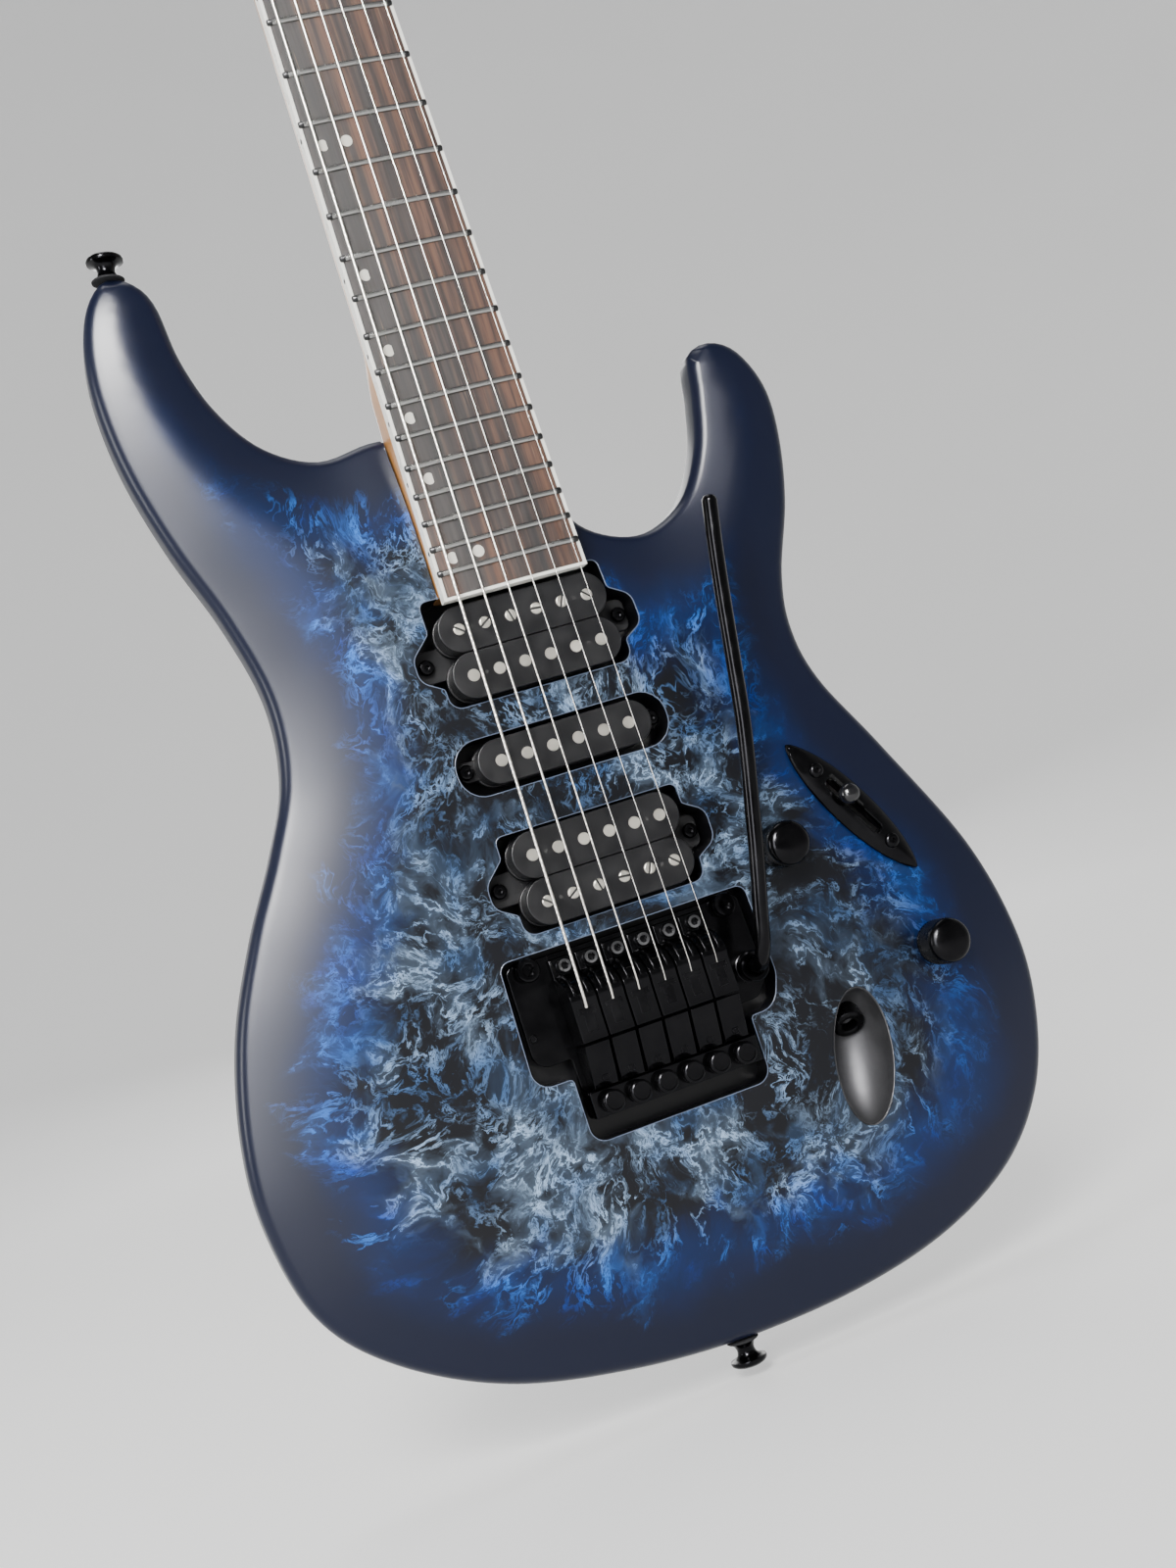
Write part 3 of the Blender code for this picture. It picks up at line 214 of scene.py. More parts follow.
def connect(tree, shader, **sockets):
    for name, value in sockets.items():
        tree.links.new(value, shader.inputs[name.replace("_", " ")])


# ---------------------------------------------------------------- materials
def warped(tree, vector, scale, amount, detail=3.0):
    """The vector pushed about by noise."""
    push = noise(tree, vector, scale, detail, output="Color")
    centred = add_node(tree, "ShaderNodeVectorMath", {0: push, 1: (0.5, 0.5, 0.5)}, operation="SUBTRACT")
    sized = add_node(tree, "ShaderNodeVectorMath", {0: centred.outputs[0], "Scale": amount},
                     operation="SCALE")
    moved = add_node(tree, "ShaderNodeVectorMath", {0: vector, 1: sized.outputs[0]}, operation="ADD")
    return moved.outputs[0]


def radial_space(tree, vector, centre, around, outward):
    """Coordinates that change quickly around a centre and slowly away from it."""
    away = add_node(tree, "ShaderNodeVectorMath", {0: vector, 1: centre}, operation="SUBTRACT").outputs[0]
    unit = add_node(tree, "ShaderNodeVectorMath", {0: away}, operation="NORMALIZE").outputs[0]
    reach = add_node(tree, "ShaderNodeVectorMath", {0: away}, operation="LENGTH").outputs["Value"]
    sized = add_node(tree, "ShaderNodeVectorMath", {0: unit, "Scale": around}, operation="SCALE").outputs[0]
    lift = add_node(tree, "ShaderNodeCombineXYZ", {"Y": maths(tree, "MULTIPLY", reach, outward)}).outputs[0]
    return add_node(tree, "ShaderNodeVectorMath", {0: sized, 1: lift}, operation="ADD").outputs[0]


def filaments(tree, vector, scale, width, detail=5.0, roughness=0.55):
    """Thin lines that follow the level curves of a noise."""
    value = noise(tree, vector, scale, detail, roughness)
    away = maths(tree, "ABSOLUTE", maths(tree, "SUBTRACT", value, 0.5))
    return step_between(tree, away, 0.0, width, 1.0, 0.0)


def burst_paint():
    """Satin burst: near-black rim, a vivid blue band, and pale marbled filaments in the middle of the top."""
    material, tree, shader = new_material("paint", roughness=0.31, specular=0.24)
    flat = object_space(tree, (1.0, 0.12, 1.0))
    wide = warped(tree, flat, 9.0, 0.07, 3.0)
    fine = warped(tree, warped(tree, wide, 42.0, 0.018, 3.0), 170.0, 0.005, 2.0)
    spread = radial_space(tree, fine, (0.005, 0.0, -0.64), 0.16, 0.32)

    waves = filaments(tree, fine, 15.0, 0.013, 10.0, 0.67)
    streaks = filaments(tree, spread, 34.0, 0.018, 9.0, 0.67)
    lace = filaments(tree, fine, 62.0, 0.03, 7.0, 0.65)
    crumbs = filaments(tree, fine, 150.0, 0.04, 3.0, 0.5)
    glow = maths(tree, "MULTIPLY", filaments(tree, fine, 15.0, 0.07, 6.0, 0.6), 0.13)
    patches = step_between(tree, noise(tree, wide, 21.0, 4.0, 0.6), 0.40, 0.58)
    gaps = step_between(tree, noise(tree, fine, 48.0, 5.0, 0.6), 0.34, 0.62)
    flecks = step_between(tree, noise(tree, fine, 230.0, 3.0, 0.6), 0.34, 0.56)
    thin = maths(tree, "MULTIPLY", gaps, flecks)

    across = add_node(tree, "ShaderNodeSeparateXYZ", {"Vector": flat})
    upper = step_between(tree, across.outputs["Z"], -0.68, -0.54)
    broad = maths(tree, "MULTIPLY", waves, 0.95)
    narrow = maths(tree, "MULTIPLY", streaks, 0.9)
    lines = maths(tree, "MAXIMUM", broad, narrow)
    small = maths(tree, "MAXIMUM", maths(tree, "MULTIPLY", lace, 0.8), maths(tree, "MULTIPLY", crumbs, upper))
    lines = maths(tree, "MAXIMUM", lines, maths(tree, "MULTIPLY", small, patches))
    veins = maths(tree, "ADD", maths(tree, "MULTIPLY", lines, thin), glow, clamp=True)
    treble = step_between(tree, across.outputs["X"], 0.03, 0.11, 1.0, 0.5)
    veins = maths(tree, "MULTIPLY", veins, treble)

    inset = add_node(tree, "ShaderNodeAttribute", attribute_name="rim_distance").outputs["Fac"]
    ragged = noise(tree, spread, 30.0, 6.0, 0.65)
    edge = maths(tree, "ADD", inset, maths(tree, "MULTIPLY", maths(tree, "SUBTRACT", ragged, 0.5), 60.0))
    cloud = noise(tree, wide, 14.0)
    soft = maths(tree, "ADD", inset, maths(tree, "MULTIPLY", maths(tree, "SUBTRACT", cloud, 0.5), 40.0))
    centre = step_between(tree, edge, 34.0, 58.0)
    marble_reach = step_between(tree, edge, 20.0, 38.0)
    blue_reach = step_between(tree, soft, 14.0, 42.0)

    rim = blend(tree, blue_reach, (0.003, 0.005, 0.017), (0.001, 0.009, 0.048))
    ground = blend(tree, centre, rim, (0.0015, 0.002, 0.004))
    blue = blend(tree, step_between(tree, noise(tree, fine, 60.0, 4.0), 0.35, 0.65), (0.0, 0.035, 0.26),
                 (0.02, 0.19, 0.72))
    pale = blend(tree, step_between(tree, noise(tree, fine, 40.0, 5.0), 0.35, 0.65), (0.05, 0.12, 0.27),
                 (0.30, 0.44, 0.64))
    vein_colour = blend(tree, centre, blue, pale)
    top = blend(tree, maths(tree, "MULTIPLY", veins, marble_reach), ground, vein_colour)

    depth = add_node(tree, "ShaderNodeSeparateXYZ", {"Vector": object_space(tree)}).outputs["Y"]
    front = step_between(tree, depth, 0.019, 0.024, 1.0, 0.0)
    solid = blend(tree, front, (0.004, 0.006, 0.014), top)
    # Cavity walls and floors, found by the 'inside' attribute, are near black and have no marble.
    inside = add_node(tree, "ShaderNodeAttribute", attribute_name="inside").outputs["Fac"]
    cavity_mask = step_between(tree, inside, 0.02, 0.12)
    colour = blend(tree, cavity_mask, solid, (0.003, 0.003, 0.004))
    orange_peel = noise(tree, object_space(tree), 700.0, 2.0)
    connect(tree, shader, Base_Color=colour, Normal=bump(tree, orange_peel, 0.04, 0.0002))
    return material


def rosewood():
    """Dark board: long straight pores, with redder streaks towards the treble side."""
    material, tree, shader = new_material("rosewood", roughness=0.5, specular=0.4)
    long_grain = object_space(tree, (1.0, 1.0, 0.035))
    grain = noise(tree, warped(tree, long_grain, 20.0, 0.004), 420.0, 6.0, 0.65)
    bands = noise(tree, long_grain, 80.0, 3.0, 0.6)
    streaks = noise(tree, long_grain, 300.0, 4.0, 0.6)
    across = add_node(tree, "ShaderNodeSeparateXYZ", {"Vector": object_space(tree)}).outputs["X"]
    treble = step_between(tree, across, -0.016, 0.026)
    redness = step_between(tree, maths(tree, "ADD", bands, maths(tree, "MULTIPLY", treble, 0.22)), 0.5, 0.68)
    dark = blend(tree, step_between(tree, streaks, 0.35, 0.65), (0.008, 0.007, 0.007), (0.026, 0.020, 0.019))
    warm = blend(tree, step_between(tree, streaks, 0.38, 0.64), (0.020, 0.010, 0.008), (0.095, 0.043, 0.025))
    wood = blend(tree, redness, dark, warm)
    pores = step_between(tree, grain, 0.52, 0.66)
    colour = blend(tree, maths(tree, "MULTIPLY", pores, 0.75), wood, (0.011, 0.007, 0.006))
    flecks = step_between(tree, noise(tree, long_grain, 900.0, 3.0), 0.66, 0.75)
    colour = blend(tree, maths(tree, "MULTIPLY", flecks, 0.45), colour, (0.2, 0.12, 0.08))
    rough = step_between(tree, grain, 0.3, 0.7, 0.42, 0.62)
    connect(tree, shader, Base_Color=colour, Roughness=rough, Normal=bump(tree, grain, 0.25, 0.0003))
    return material


def maple():
    """Amber-tinted neck wood with fine flecks and a light figure."""
    material, tree, shader = new_material("maple", roughness=0.35, coat=0.4, coat_roughness=0.15)
    along = object_space(tree, (1.0, 1.0, 0.06))
    bands = noise(tree, warped(tree, along, 18.0, 0.006), 130.0, 5.0, 0.6)
    flecks = step_between(tree, noise(tree, object_space(tree, (1.0, 1.0, 0.12)), 900.0, 3.0), 0.6, 0.75)
    figure = noise(tree, object_space(tree, (0.25, 0.25, 1.0)), 85.0, 3.0)
    colour = blend(tree, bands, (0.30, 0.125, 0.03), (0.50, 0.235, 0.075))
    colour = blend(tree, maths(tree, "MULTIPLY", flecks, 0.3), colour, (0.2, 0.075, 0.02))
    colour = blend(tree, maths(tree, "MULTIPLY", step_between(tree, figure, 0.4, 0.7), 0.22), colour,
                   (0.62, 0.33, 0.12))
    connect(tree, shader, Base_Color=colour, Normal=bump(tree, bands, 0.05, 0.0002))
    return material


def moulded(name, colour, roughness, worn, coat=0.0, grain=500.0, depth=0.1, specular=0.5):
    """Plastic or lacquer: slight mottling of colour and sheen, and a fine surface texture."""
    material, tree, shader = new_material(name, roughness=roughness, coat=coat, specular=specular)
    space = object_space(tree)
    cloud = noise(tree, space, 60.0, 5.0, 0.6)
    mixed = blend(tree, cloud, colour, worn)
    rough = step_between(tree, noise(tree, space, 140.0, 4.0), 0.3, 0.7, roughness - 0.05, roughness + 0.08)
    connect(tree, shader, Base_Color=mixed, Roughness=rough,
            Normal=bump(tree, noise(tree, space, grain, 3.0), depth, 0.0002))
    return material


def plated(name, colour, roughness, dull, scratches=0.12):
    """Plated metal with faint handling marks and a brushed variation of its gloss."""
    material, tree, shader = new_material(name, roughness=roughness, metallic=1.0)
    space = object_space(tree)
    smudge = noise(tree, space, 110.0, 6.0, 0.6)
    marks = noise(tree, object_space(tree, (1.0, 1.0, 0.1)), 1500.0, 2.0)
    rough = step_between(tree, smudge, 0.3, 0.75, roughness, roughness + 0.16)
    connect(tree, shader, Base_Color=blend(tree, smudge, colour, dull), Roughness=rough,
            Normal=bump(tree, marks, scratches, 0.00005))
    return material


def black_hardware(name, roughness=0.1):
    """Black nickel-plated steel: dark, glossy, with slightly worn grey in the sheen."""
    material, tree, shader = new_material(name, roughness=roughness, metallic=0.9, specular=0.3)
    space = object_space(tree)
    smudge = noise(tree, space, 90.0, 6.0, 0.65)
    rough = step_between(tree, smudge, 0.35, 0.7, roughness, roughness + 0.14)
    connect(tree, shader, Base_Color=blend(tree, smudge, (0.004, 0.004, 0.005), (0.013, 0.013, 0.014)),
            Roughness=rough, Normal=bump(tree, noise(tree, space, 900.0, 2.0), 0.05, 0.0001))
    return material


def wound_string(name, pitch_mm):
    """A wire with windings across it."""
    material, tree, shader = new_material(name, roughness=0.28, metallic=1.0)
    space = object_space(tree)
    ribs = add_node(tree, "ShaderNodeTexWave", {"Vector": space, "Scale": 1000.0 / pitch_mm / 20.0},
                    bands_direction="Z").outputs["Fac"]
    tint = noise(tree, space, 40.0, 4.0)
    connect(tree, shader, Base_Color=blend(tree, tint, (0.62, 0.58, 0.52), (0.8, 0.77, 0.72)),
            Normal=bump(tree, ribs, 0.6, 0.0001))
    return material


def tape():
    """Black grained cloth tape round the pickup coils."""
    material, tree, shader = new_material("tape", roughness=0.45, coat=0.2)
    space = object_space(tree)
    cells = add_node(tree, "ShaderNodeTexVoronoi", {"Vector": space, "Scale": 1300.0}).outputs["Distance"]
    connect(tree, shader, Base_Color=blend(tree, cells, (0.035, 0.035, 0.037), (0.008, 0.008, 0.009)),
            Normal=bump(tree, cells, 0.7, 0.0004))
    return material


MATERIAL = {
    "paint": burst_paint(),
    # Much lighter than the paint: a painted highlight for the thin beads along the cavity edges.
    "painted_highlight_edge": moulded("painted_highlight_edge", (0.05, 0.07, 0.12), 0.25, (0.16, 0.2, 0.28)),
    "rosewood": rosewood(),
    "maple": maple(),
    "binding": moulded("binding", (0.78, 0.77, 0.70), 0.3, (0.86, 0.85, 0.80), 0.2, 300.0, 0.03),
    "pearl": moulded("pearl", (0.52, 0.5, 0.44), 0.25, (0.85, 0.82, 0.74), 0.5, 200.0, 0.05),
    "nickel": plated("nickel", (0.42, 0.42, 0.41), 0.14, (0.3, 0.3, 0.29)),
    # Near-black copy of the fret nickel: painted shade on the fret ends.
    "painted_shade_fret_end": plated("painted_shade_fret_end", (0.06, 0.06, 0.062), 0.3, (0.03, 0.03, 0.03)),
    "pole_steel": plated("pole_steel", (0.68, 0.65, 0.58), 0.28, (0.42, 0.40, 0.35), 0.3),
    "string_steel": plated("string_steel", (0.78, 0.77, 0.74), 0.2, (0.66, 0.64, 0.6)),
    "wound": wound_string("wound", 0.32),
    "black_metal": black_hardware("black_metal"),
    "satin_metal": black_hardware("satin_metal", 0.26),
    "bolt": plated("bolt", (0.16, 0.16, 0.165), 0.14, (0.08, 0.08, 0.085)),
    "gloss_black": moulded("gloss_black", (0.003, 0.003, 0.004), 0.12, (0.006, 0.006, 0.007), 0.0,
                           300.0, 0.02),
    "bobbin": moulded("bobbin", (0.004, 0.004, 0.005), 0.36, (0.008, 0.008, 0.009), 0.0, 900.0, 0.15, 0.25),
    "tape": tape(),
    "dish": plated("dish", (0.09, 0.09, 0.095), 0.5, (0.075, 0.075, 0.08), 0.0),
    "grip": plated("grip", (0.07, 0.07, 0.072), 0.2, (0.04, 0.04, 0.041), 0.0),
    "cover": moulded("cover", (0.01, 0.01, 0.011), 0.5, (0.016, 0.016, 0.017), 0.0, 1400.0, 0.5),
    "head_face": moulded("head_face", (0.006, 0.008, 0.018), 0.62, (0.01, 0.012, 0.024), 0.3),
    "zinc": plated("zinc", (0.5, 0.5, 0.5), 0.3, (0.36, 0.36, 0.35)),
    "felt": moulded("felt", (0.012, 0.012, 0.013), 0.95, (0.03, 0.03, 0.032), 0.0, 2500.0, 0.9, 0.1),
    # Near-black matte discs: painted shade in the pickups' holes and screw slots.
    "painted_hole_shade": moulded("painted_hole_shade", (0.002, 0.002, 0.002), 0.7, (0.004, 0.004, 0.004)),
}


# ---------------------------------------------------------------- shapes, added to a bmesh in millimetres
def add_turned(bm, profile, base, axis, steps=32):
    """Turn (radius, height) pairs about an axis, from the bottom up.

    A third value of 6 makes that ring a hexagon.
    """
    turn = Vector(axis).to_track_quat("Z", "Y").to_matrix()
    base = Vector(base)
    rings = []
    for radius, height, *sides in profile:
        if radius < 1e-6:
            rings.append([bm.verts.new(base + turn @ Vector((0, 0, height)))])
            continue
        ring = []
        for step in range(steps):
            angle = 2 * math.pi * step / steps
            reach = radius
            if sides:
                sector = math.pi / sides[0]
                reach = radius / math.cos((angle % (2 * sector)) - sector)
            point = Vector((reach * math.cos(angle), reach * math.sin(angle), height))
            ring.append(bm.verts.new(base + turn @ point))
        rings.append(ring)
    for under, over in zip(rings, rings[1:]):
        for i in range(steps):
            j = (i + 1) % steps
            corners = [under[i % len(under)], under[j % len(under)], over[j % len(over)], over[i % len(over)]]
            bm.faces.new(list(dict.fromkeys(corners)))
    if len(rings[0]) > 1:
        bm.faces.new(reversed(rings[0]))
    if len(rings[-1]) > 1:
        bm.faces.new(rings[-1])


def add_prism(bm, outline, y_front, y_back):
    """Extrude a closed (x, z) outline between two depths."""
    front = [bm.verts.new((x, y_front, z)) for x, z in outline]
    back = [bm.verts.new((x, y_back, z)) for x, z in outline]
    bm.faces.new(front)
    bm.faces.new(reversed(back))
    for i in range(len(outline)):
        j = (i + 1) % len(outline)
        bm.faces.new((front[j], front[i], back[i], back[j]))


def add_box(bm, lowest, highest):
    add_prism(bm, [(lowest[0], lowest[2]), (highest[0], lowest[2]), (highest[0], highest[2]),
                   (lowest[0], highest[2])], lowest[1], highest[1])


def add_side_prism(bm, outline, x_low, x_high):
    """Extrude a closed (y, z) outline between two x positions."""
    near = [bm.verts.new((x_low, y, z)) for y, z in outline]
    far = [bm.verts.new((x_high, y, z)) for y, z in outline]
    bm.faces.new(near)
    bm.faces.new(reversed(far))
    for i in range(len(outline)):
        j = (i + 1) % len(outline)
        bm.faces.new((near[j], near[i], far[i], far[j]))


def add_tube(bm, path, radius, sides=10, closed=False):
    """A round wire along points, with its section carried smoothly from point to point."""
    path = [Vector(point) for point in path]
    count = len(path)
    tangents = []
    for i in range(count):
        ahead = path[(i + 1) % count] if closed or i + 1 < count else path[i]
        behind = path[i - 1] if closed or i > 0 else path[i]
        tangents.append((ahead - behind).normalized())
    normal = tangents[0].orthogonal().normalized()
    rings = []
    for point, tangent in zip(path, tangents):
        normal = (normal - tangent * normal.dot(tangent)).normalized()
        side = tangent.cross(normal)
        rings.append([bm.verts.new(point + (normal * math.cos(a) + side * math.sin(a)) * radius)
                      for a in (2 * math.pi * k / sides for k in range(sides))])
    pairs = list(zip(rings, rings[1:])) + ([(rings[-1], rings[0])] if closed else [])
    for first, second in pairs:
        for i in range(sides):
            j = (i + 1) % sides
            bm.faces.new((first[i], first[j], second[j], second[i]))
    if not closed:
        bm.faces.new(reversed(rings[0]))
        bm.faces.new(rings[-1])


def add_slotted_screw(bm, centre, axis, radius, rise, angle, slot=0.42):
    """A domed head split in two by a driver slot."""
    start = len(bm.verts)
    reach = math.asin(slot / radius)
    for side in (0, math.pi):
        rings = []
        for share, height in ((1.0, 0.0), (0.98, 0.6), (0.85, 1.0)):
            ring = []
            for step in range(13):
                a = side + reach + (math.pi - 2 * reach) * step / 12
                x = radius * math.cos(a) * share
                y = radius * math.sin(a) * share
                if abs(y) < slot:
                    y = math.copysign(slot, math.sin(side + math.pi / 2))
                ring.append(bm.verts.new((x, y, rise * height)))
            rings.append(ring)
        for under, over in zip(rings, rings[1:]):
            for i in range(13):
                j = (i + 1) % 13
                bm.faces.new((under[i], under[j], over[j], over[i]))
        bm.faces.new(rings[-1])
        bm.faces.new(reversed(rings[0]))
    bm.verts.ensure_lookup_table()
    place = Matrix.Translation(Vector(centre)) @ Vector(axis).to_track_quat("Z", "Y").to_matrix().to_4x4()
    bmesh.ops.transform(bm, matrix=place @ Matrix.Rotation(angle, 4, "Z"), verts=bm.verts[start:])


def moved_by(bm, start, matrix):
    """Move what was added to a bmesh since it held start vertices."""
    bm.verts.ensure_lookup_table()
    bmesh.ops.transform(bm, matrix=matrix, verts=bm.verts[start:])


def rounded(corners, segments=6):
    """An (x, z) outline whose corners (x, z, radius) are replaced by arcs."""
    points = []
    count = len(corners)
    for index, (x, z, radius) in enumerate(corners):
        corner = Vector((x, z))
        back = (Vector(corners[index - 1][:2]) - corner).normalized()
        ahead = (Vector(corners[(index + 1) % count][:2]) - corner).normalized()
        half = back.angle(ahead) / 2
        if radius <= 0 or math.pi / 2 - half < 0.01:
            points.append((x, z))
            continue
        centre = corner + (back + ahead).normalized() * (radius / math.sin(half))
        start = corner + back * (radius / math.tan(half)) - centre
        end = corner + ahead * (radius / math.tan(half)) - centre
        for step in range(segments + 1):
            points.append(tuple(centre + start.lerp(end, step / segments).normalized() * radius))
    return points


def smooth_loop(knots, spacing):
    """Catmull-Rom curve through closed knots, resampled at an even spacing."""
    knots = [Vector(knot) for knot in knots]
    count = len(knots)
    dense = []
    for index in range(count):
        a, b, c, d = (knots[(index + offset) % count] for offset in (-1, 0, 1, 2))
        for step in range(24):
            t = step / 24
            dense.append(0.5 * ((2 * b) + (c - a) * t + (2 * a - 5 * b + 4 * c - d) * t * t
                                + (3 * b - a - 3 * c + d) * t ** 3))
    return resampled(dense, spacing)


def resampled(loop, spacing):
    """A closed loop of 2D points at an even spacing."""
    points = np.array([tuple(p) for p in loop])
    closed = np.vstack([points, points[:1]])
    walked = np.concatenate([[0], np.cumsum(np.linalg.norm(np.diff(closed, axis=0), axis=1))])
    goals = np.linspace(0, walked[-1], max(8, round(walked[-1] / spacing)), endpoint=False)
    return [Vector((np.interp(g, walked, closed[:, 0]), np.interp(g, walked, closed[:, 1]))) for g in goals]


# ---------------------------------------------------------------- the body's arched surfaces
def distance_to(loop, points):
    """Distance of (n, 2) points from a closed loop."""
    starts = np.array([tuple(p) for p in loop])
    runs = np.roll(starts, -1, axis=0) - starts
    best = np.full(len(points), 1e9)
    for start, run in zip(starts, runs):
        t = np.clip(((points - start) @ run) / (run @ run), 0, 1)
        best = np.minimum(best, np.linalg.norm(points - start - t[:, None] * run, axis=1))
    return best


def is_inside(loop, points):
    starts = np.array([tuple(p) for p in loop])
    ends = np.roll(starts, -1, axis=0)
    inside = np.zeros(len(points), bool)
    for (x0, z0), (x1, z1) in zip(starts, ends):
        if z0 == z1:
            continue
        crosses = (z0 > points[:, 1]) != (z1 > points[:, 1])
        inside ^= crosses & (points[:, 0] < x0 + (points[:, 1] - z0) / (z1 - z0) * (x1 - x0))
    return inside


BODY_LOOP = smooth_loop(BODY_OUTLINE, 3.5)


def arch(inset, reach):
    t = np.maximum(0.0, 1.0 - inset / reach)
    return 1.0 - t * t


def rim_drop(inset):
    t = np.maximum(0.0, 1.0 - inset / RIM_ROUND)
    return RIM_ROUND * (1.0 - np.sqrt(np.maximum(0.0, 1.0 - t * t)))


def front_surface(points):
    inset = distance_to(BODY_LOOP, points)
    return FRONT_EDGE - (FRONT_EDGE - FRONT_Y) * arch(inset, 60.0) + rim_drop(inset)


def back_surface(points):
    inset = distance_to(BODY_LOOP, points)
    return BACK_EDGE + (BACK_Y - BACK_EDGE) * arch(inset, 45.0) - rim_drop(inset)


def front_at(x, z):
    return float(front_surface(np.array([[x, z]]))[0])


def back_at(x, z):
    return float(back_surface(np.array([[x, z]]))[0])


def grid_inside(loop, pitch, margin):
    """A staggered grid over the inside of a loop."""
    edge = np.array([tuple(p) for p in loop])
    lowest = edge.min(0)
    highest = edge.max(0)
    rows = np.arange(lowest[1], highest[1], pitch * 0.87)
    points = np.array([(x + (row % 2) * pitch / 2, z) for row, z in enumerate(rows)
                       for x in np.arange(lowest[0], highest[0], pitch)])
    points = points[is_inside(loop, points)]
    return points[distance_to(loop, points) > margin]


def add_loft(bm, loop, inner, front, back):
    """A closed slab over a loop and inner points, between two depth functions of (n, 2) points."""
    count = len(loop)
    edges = [(i, (i + 1) % count) for i in range(count)]
    result = delaunay_2d_cdt([Vector(p) for p in loop] + [Vector(p) for p in inner], edges,
                             [list(range(count))], 1, 1e-5)
    points = np.array([tuple(p) for p in result[0]])
    near = [bm.verts.new((x, y, z)) for (x, z), y in zip(points, front(points))]
    far = [bm.verts.new((x, y, z)) for (x, z), y in zip(points, back(points))]
    for triangle in result[2]:
        bm.faces.new([near[i] for i in triangle])
        bm.faces.new([far[i] for i in reversed(triangle)])
    rim = {source: index for index, sources in enumerate(result[3]) for source in sources if source < count}
    for i in range(count):
        a, b = rim[i], rim[(i + 1) % count]
        bm.faces.new((near[b], near[a], far[a], far[b]))


def inset_ring(loop, inset):
    """Points moved in from a loop, without those that come near another side of it."""
    area = sum(a.x * b.y - b.x * a.y for a, b in zip(loop, loop[1:] + loop[:1]))
    ring = []
    for before, point, after in zip(loop[-1:] + loop[:-1], loop, loop[1:] + loop[:1]):
        along = (after - before).normalized()
        ring.append(tuple(point + Vector((-along.y, along.x)) * math.copysign(inset, area)))
    ring = np.array(ring)
    return ring[distance_to(loop, ring) > inset * 0.985]


# ---------------------------------------------------------------- making pieces
def soften_edges(obj, width, segments, angle=30):
    """Round the edges sharper than an angle in degrees. The width is in millimetres."""
    bevel = obj.modifiers.new("edges", "BEVEL")
    bevel.width = width * MM
    bevel.segments = segments
    bevel.limit_method = "ANGLE"
    bevel.angle_limit = math.radians(angle)
    bevel.use_clamp_overlap = False
    bevel.harden_normals = True


def piece(name, bm, material, body, replaces=(), bevel=0.0, angle=38.0):
    """Turn a bmesh in millimetres into a piece that rides on a body."""
    bmesh.ops.recalc_face_normals(bm, faces=bm.faces)
    bmesh.ops.scale(bm, vec=(MM, MM, MM), verts=bm.verts)
    mesh = bpy.data.meshes.new(name)
    bm.to_mesh(mesh)
    bm.free()
    obj = bpy.data.objects.new(name, mesh)
    bpy.context.scene.collection.objects.link(obj)
    mesh.materials.append(MATERIAL[material])
    mesh.shade_smooth()
    if bevel:
        soften_edges(obj, bevel, 2, angle)
    else:
        mesh.set_sharp_from_angle(angle=math.radians(angle))
    if body:
        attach(obj, body)
    if replaces:
        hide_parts(*replaces)
    return obj


def carved(obj, cutters):
    """Cut an object's mesh by bmeshes in millimetres."""
    group = bpy.data.collections.new("cutters")
    tools = []
    for index, bm in enumerate(cutters):
        bmesh.ops.recalc_face_normals(bm, faces=bm.faces)
        bmesh.ops.scale(bm, vec=(MM, MM, MM), verts=bm.verts)
        mesh = bpy.data.meshes.new(f"cutter_{index}")
        bm.to_mesh(mesh)
        bm.free()
        tool = bpy.data.objects.new(f"cutter_{index}", mesh)
        group.objects.link(tool)
        tools.append(tool)
    bpy.context.scene.collection.children.link(group)
    modifier = obj.modifiers.new("cuts", "BOOLEAN")
    modifier.operand_type = "COLLECTION"
    modifier.collection = group
    bpy.context.view_layer.update()
    made = bpy.data.meshes.new_from_object(obj.evaluated_get(bpy.context.evaluated_depsgraph_get()))
    obj.modifiers.clear()
    obj.data = made
    for tool in tools:
        bpy.data.objects.remove(tool)
    bpy.data.collections.remove(group)
    made.shade_smooth()
    made.set_sharp_from_angle(angle=math.radians(38))
    return obj


def rod_bm(start, end, radius, steps=24):
    bm = bmesh.new()
    start, end = Vector(start), Vector(end)
    add_turned(bm, [(radius, 0), (radius, (end - start).length)], start, end - start, steps)
    return bm


def prism_bm(outline, y_front, y_back):
    bm = bmesh.new()
    add_prism(bm, outline, y_front, y_back)
    return bm


def box_bm(lowest, highest):
    bm = bmesh.new()
    add_box(bm, lowest, highest)
    return bm


# ---------------------------------------------------------------- body
def humbucker_opening(centre_z):
    top = centre_z + (23.4 if centre_z == NECK_PICKUP_Z else 19.4)
    low_edge = centre_z - 19.6
    return rounded([
        (-37.6, top, 3), (-37.6, centre_z + 11, 1.5), (-46, centre_z + 3, 6), (-46, centre_z - 6, 6),
        (-37.6, centre_z - 11, 1.5), (-37.6, low_edge, 5), (37.6, low_edge, 5), (37.6, centre_z - 11, 1.5),
        (46, centre_z - 6, 6), (46, centre_z + 6, 6), (37.6, centre_z + 11, 1.5), (37.6, top, 3)])


def control_outline(grow):
    corners = [(52, -606), (78, -596), (98, -584), (118, -603), (134, -640), (138, -672),
               (126, -698), (96, -744), (60, -744), (52, -700)]
    centre = Vector((96, -664))
    moved = []
    for x, z in corners:
        point = Vector((x, z))
        away = (point - centre).normalized() * grow
        moved.append((x + away.x, z + away.y, 9 + grow))
    return rounded(moved)


def tremolo_cover_outline(grow):
    return rounded([(-41 - grow, -531 + grow, 6), (41 + grow, -531 + grow, 6), (41 + grow, -680 - grow, 6),
                    (-41 - grow, -680 - grow, 6)])


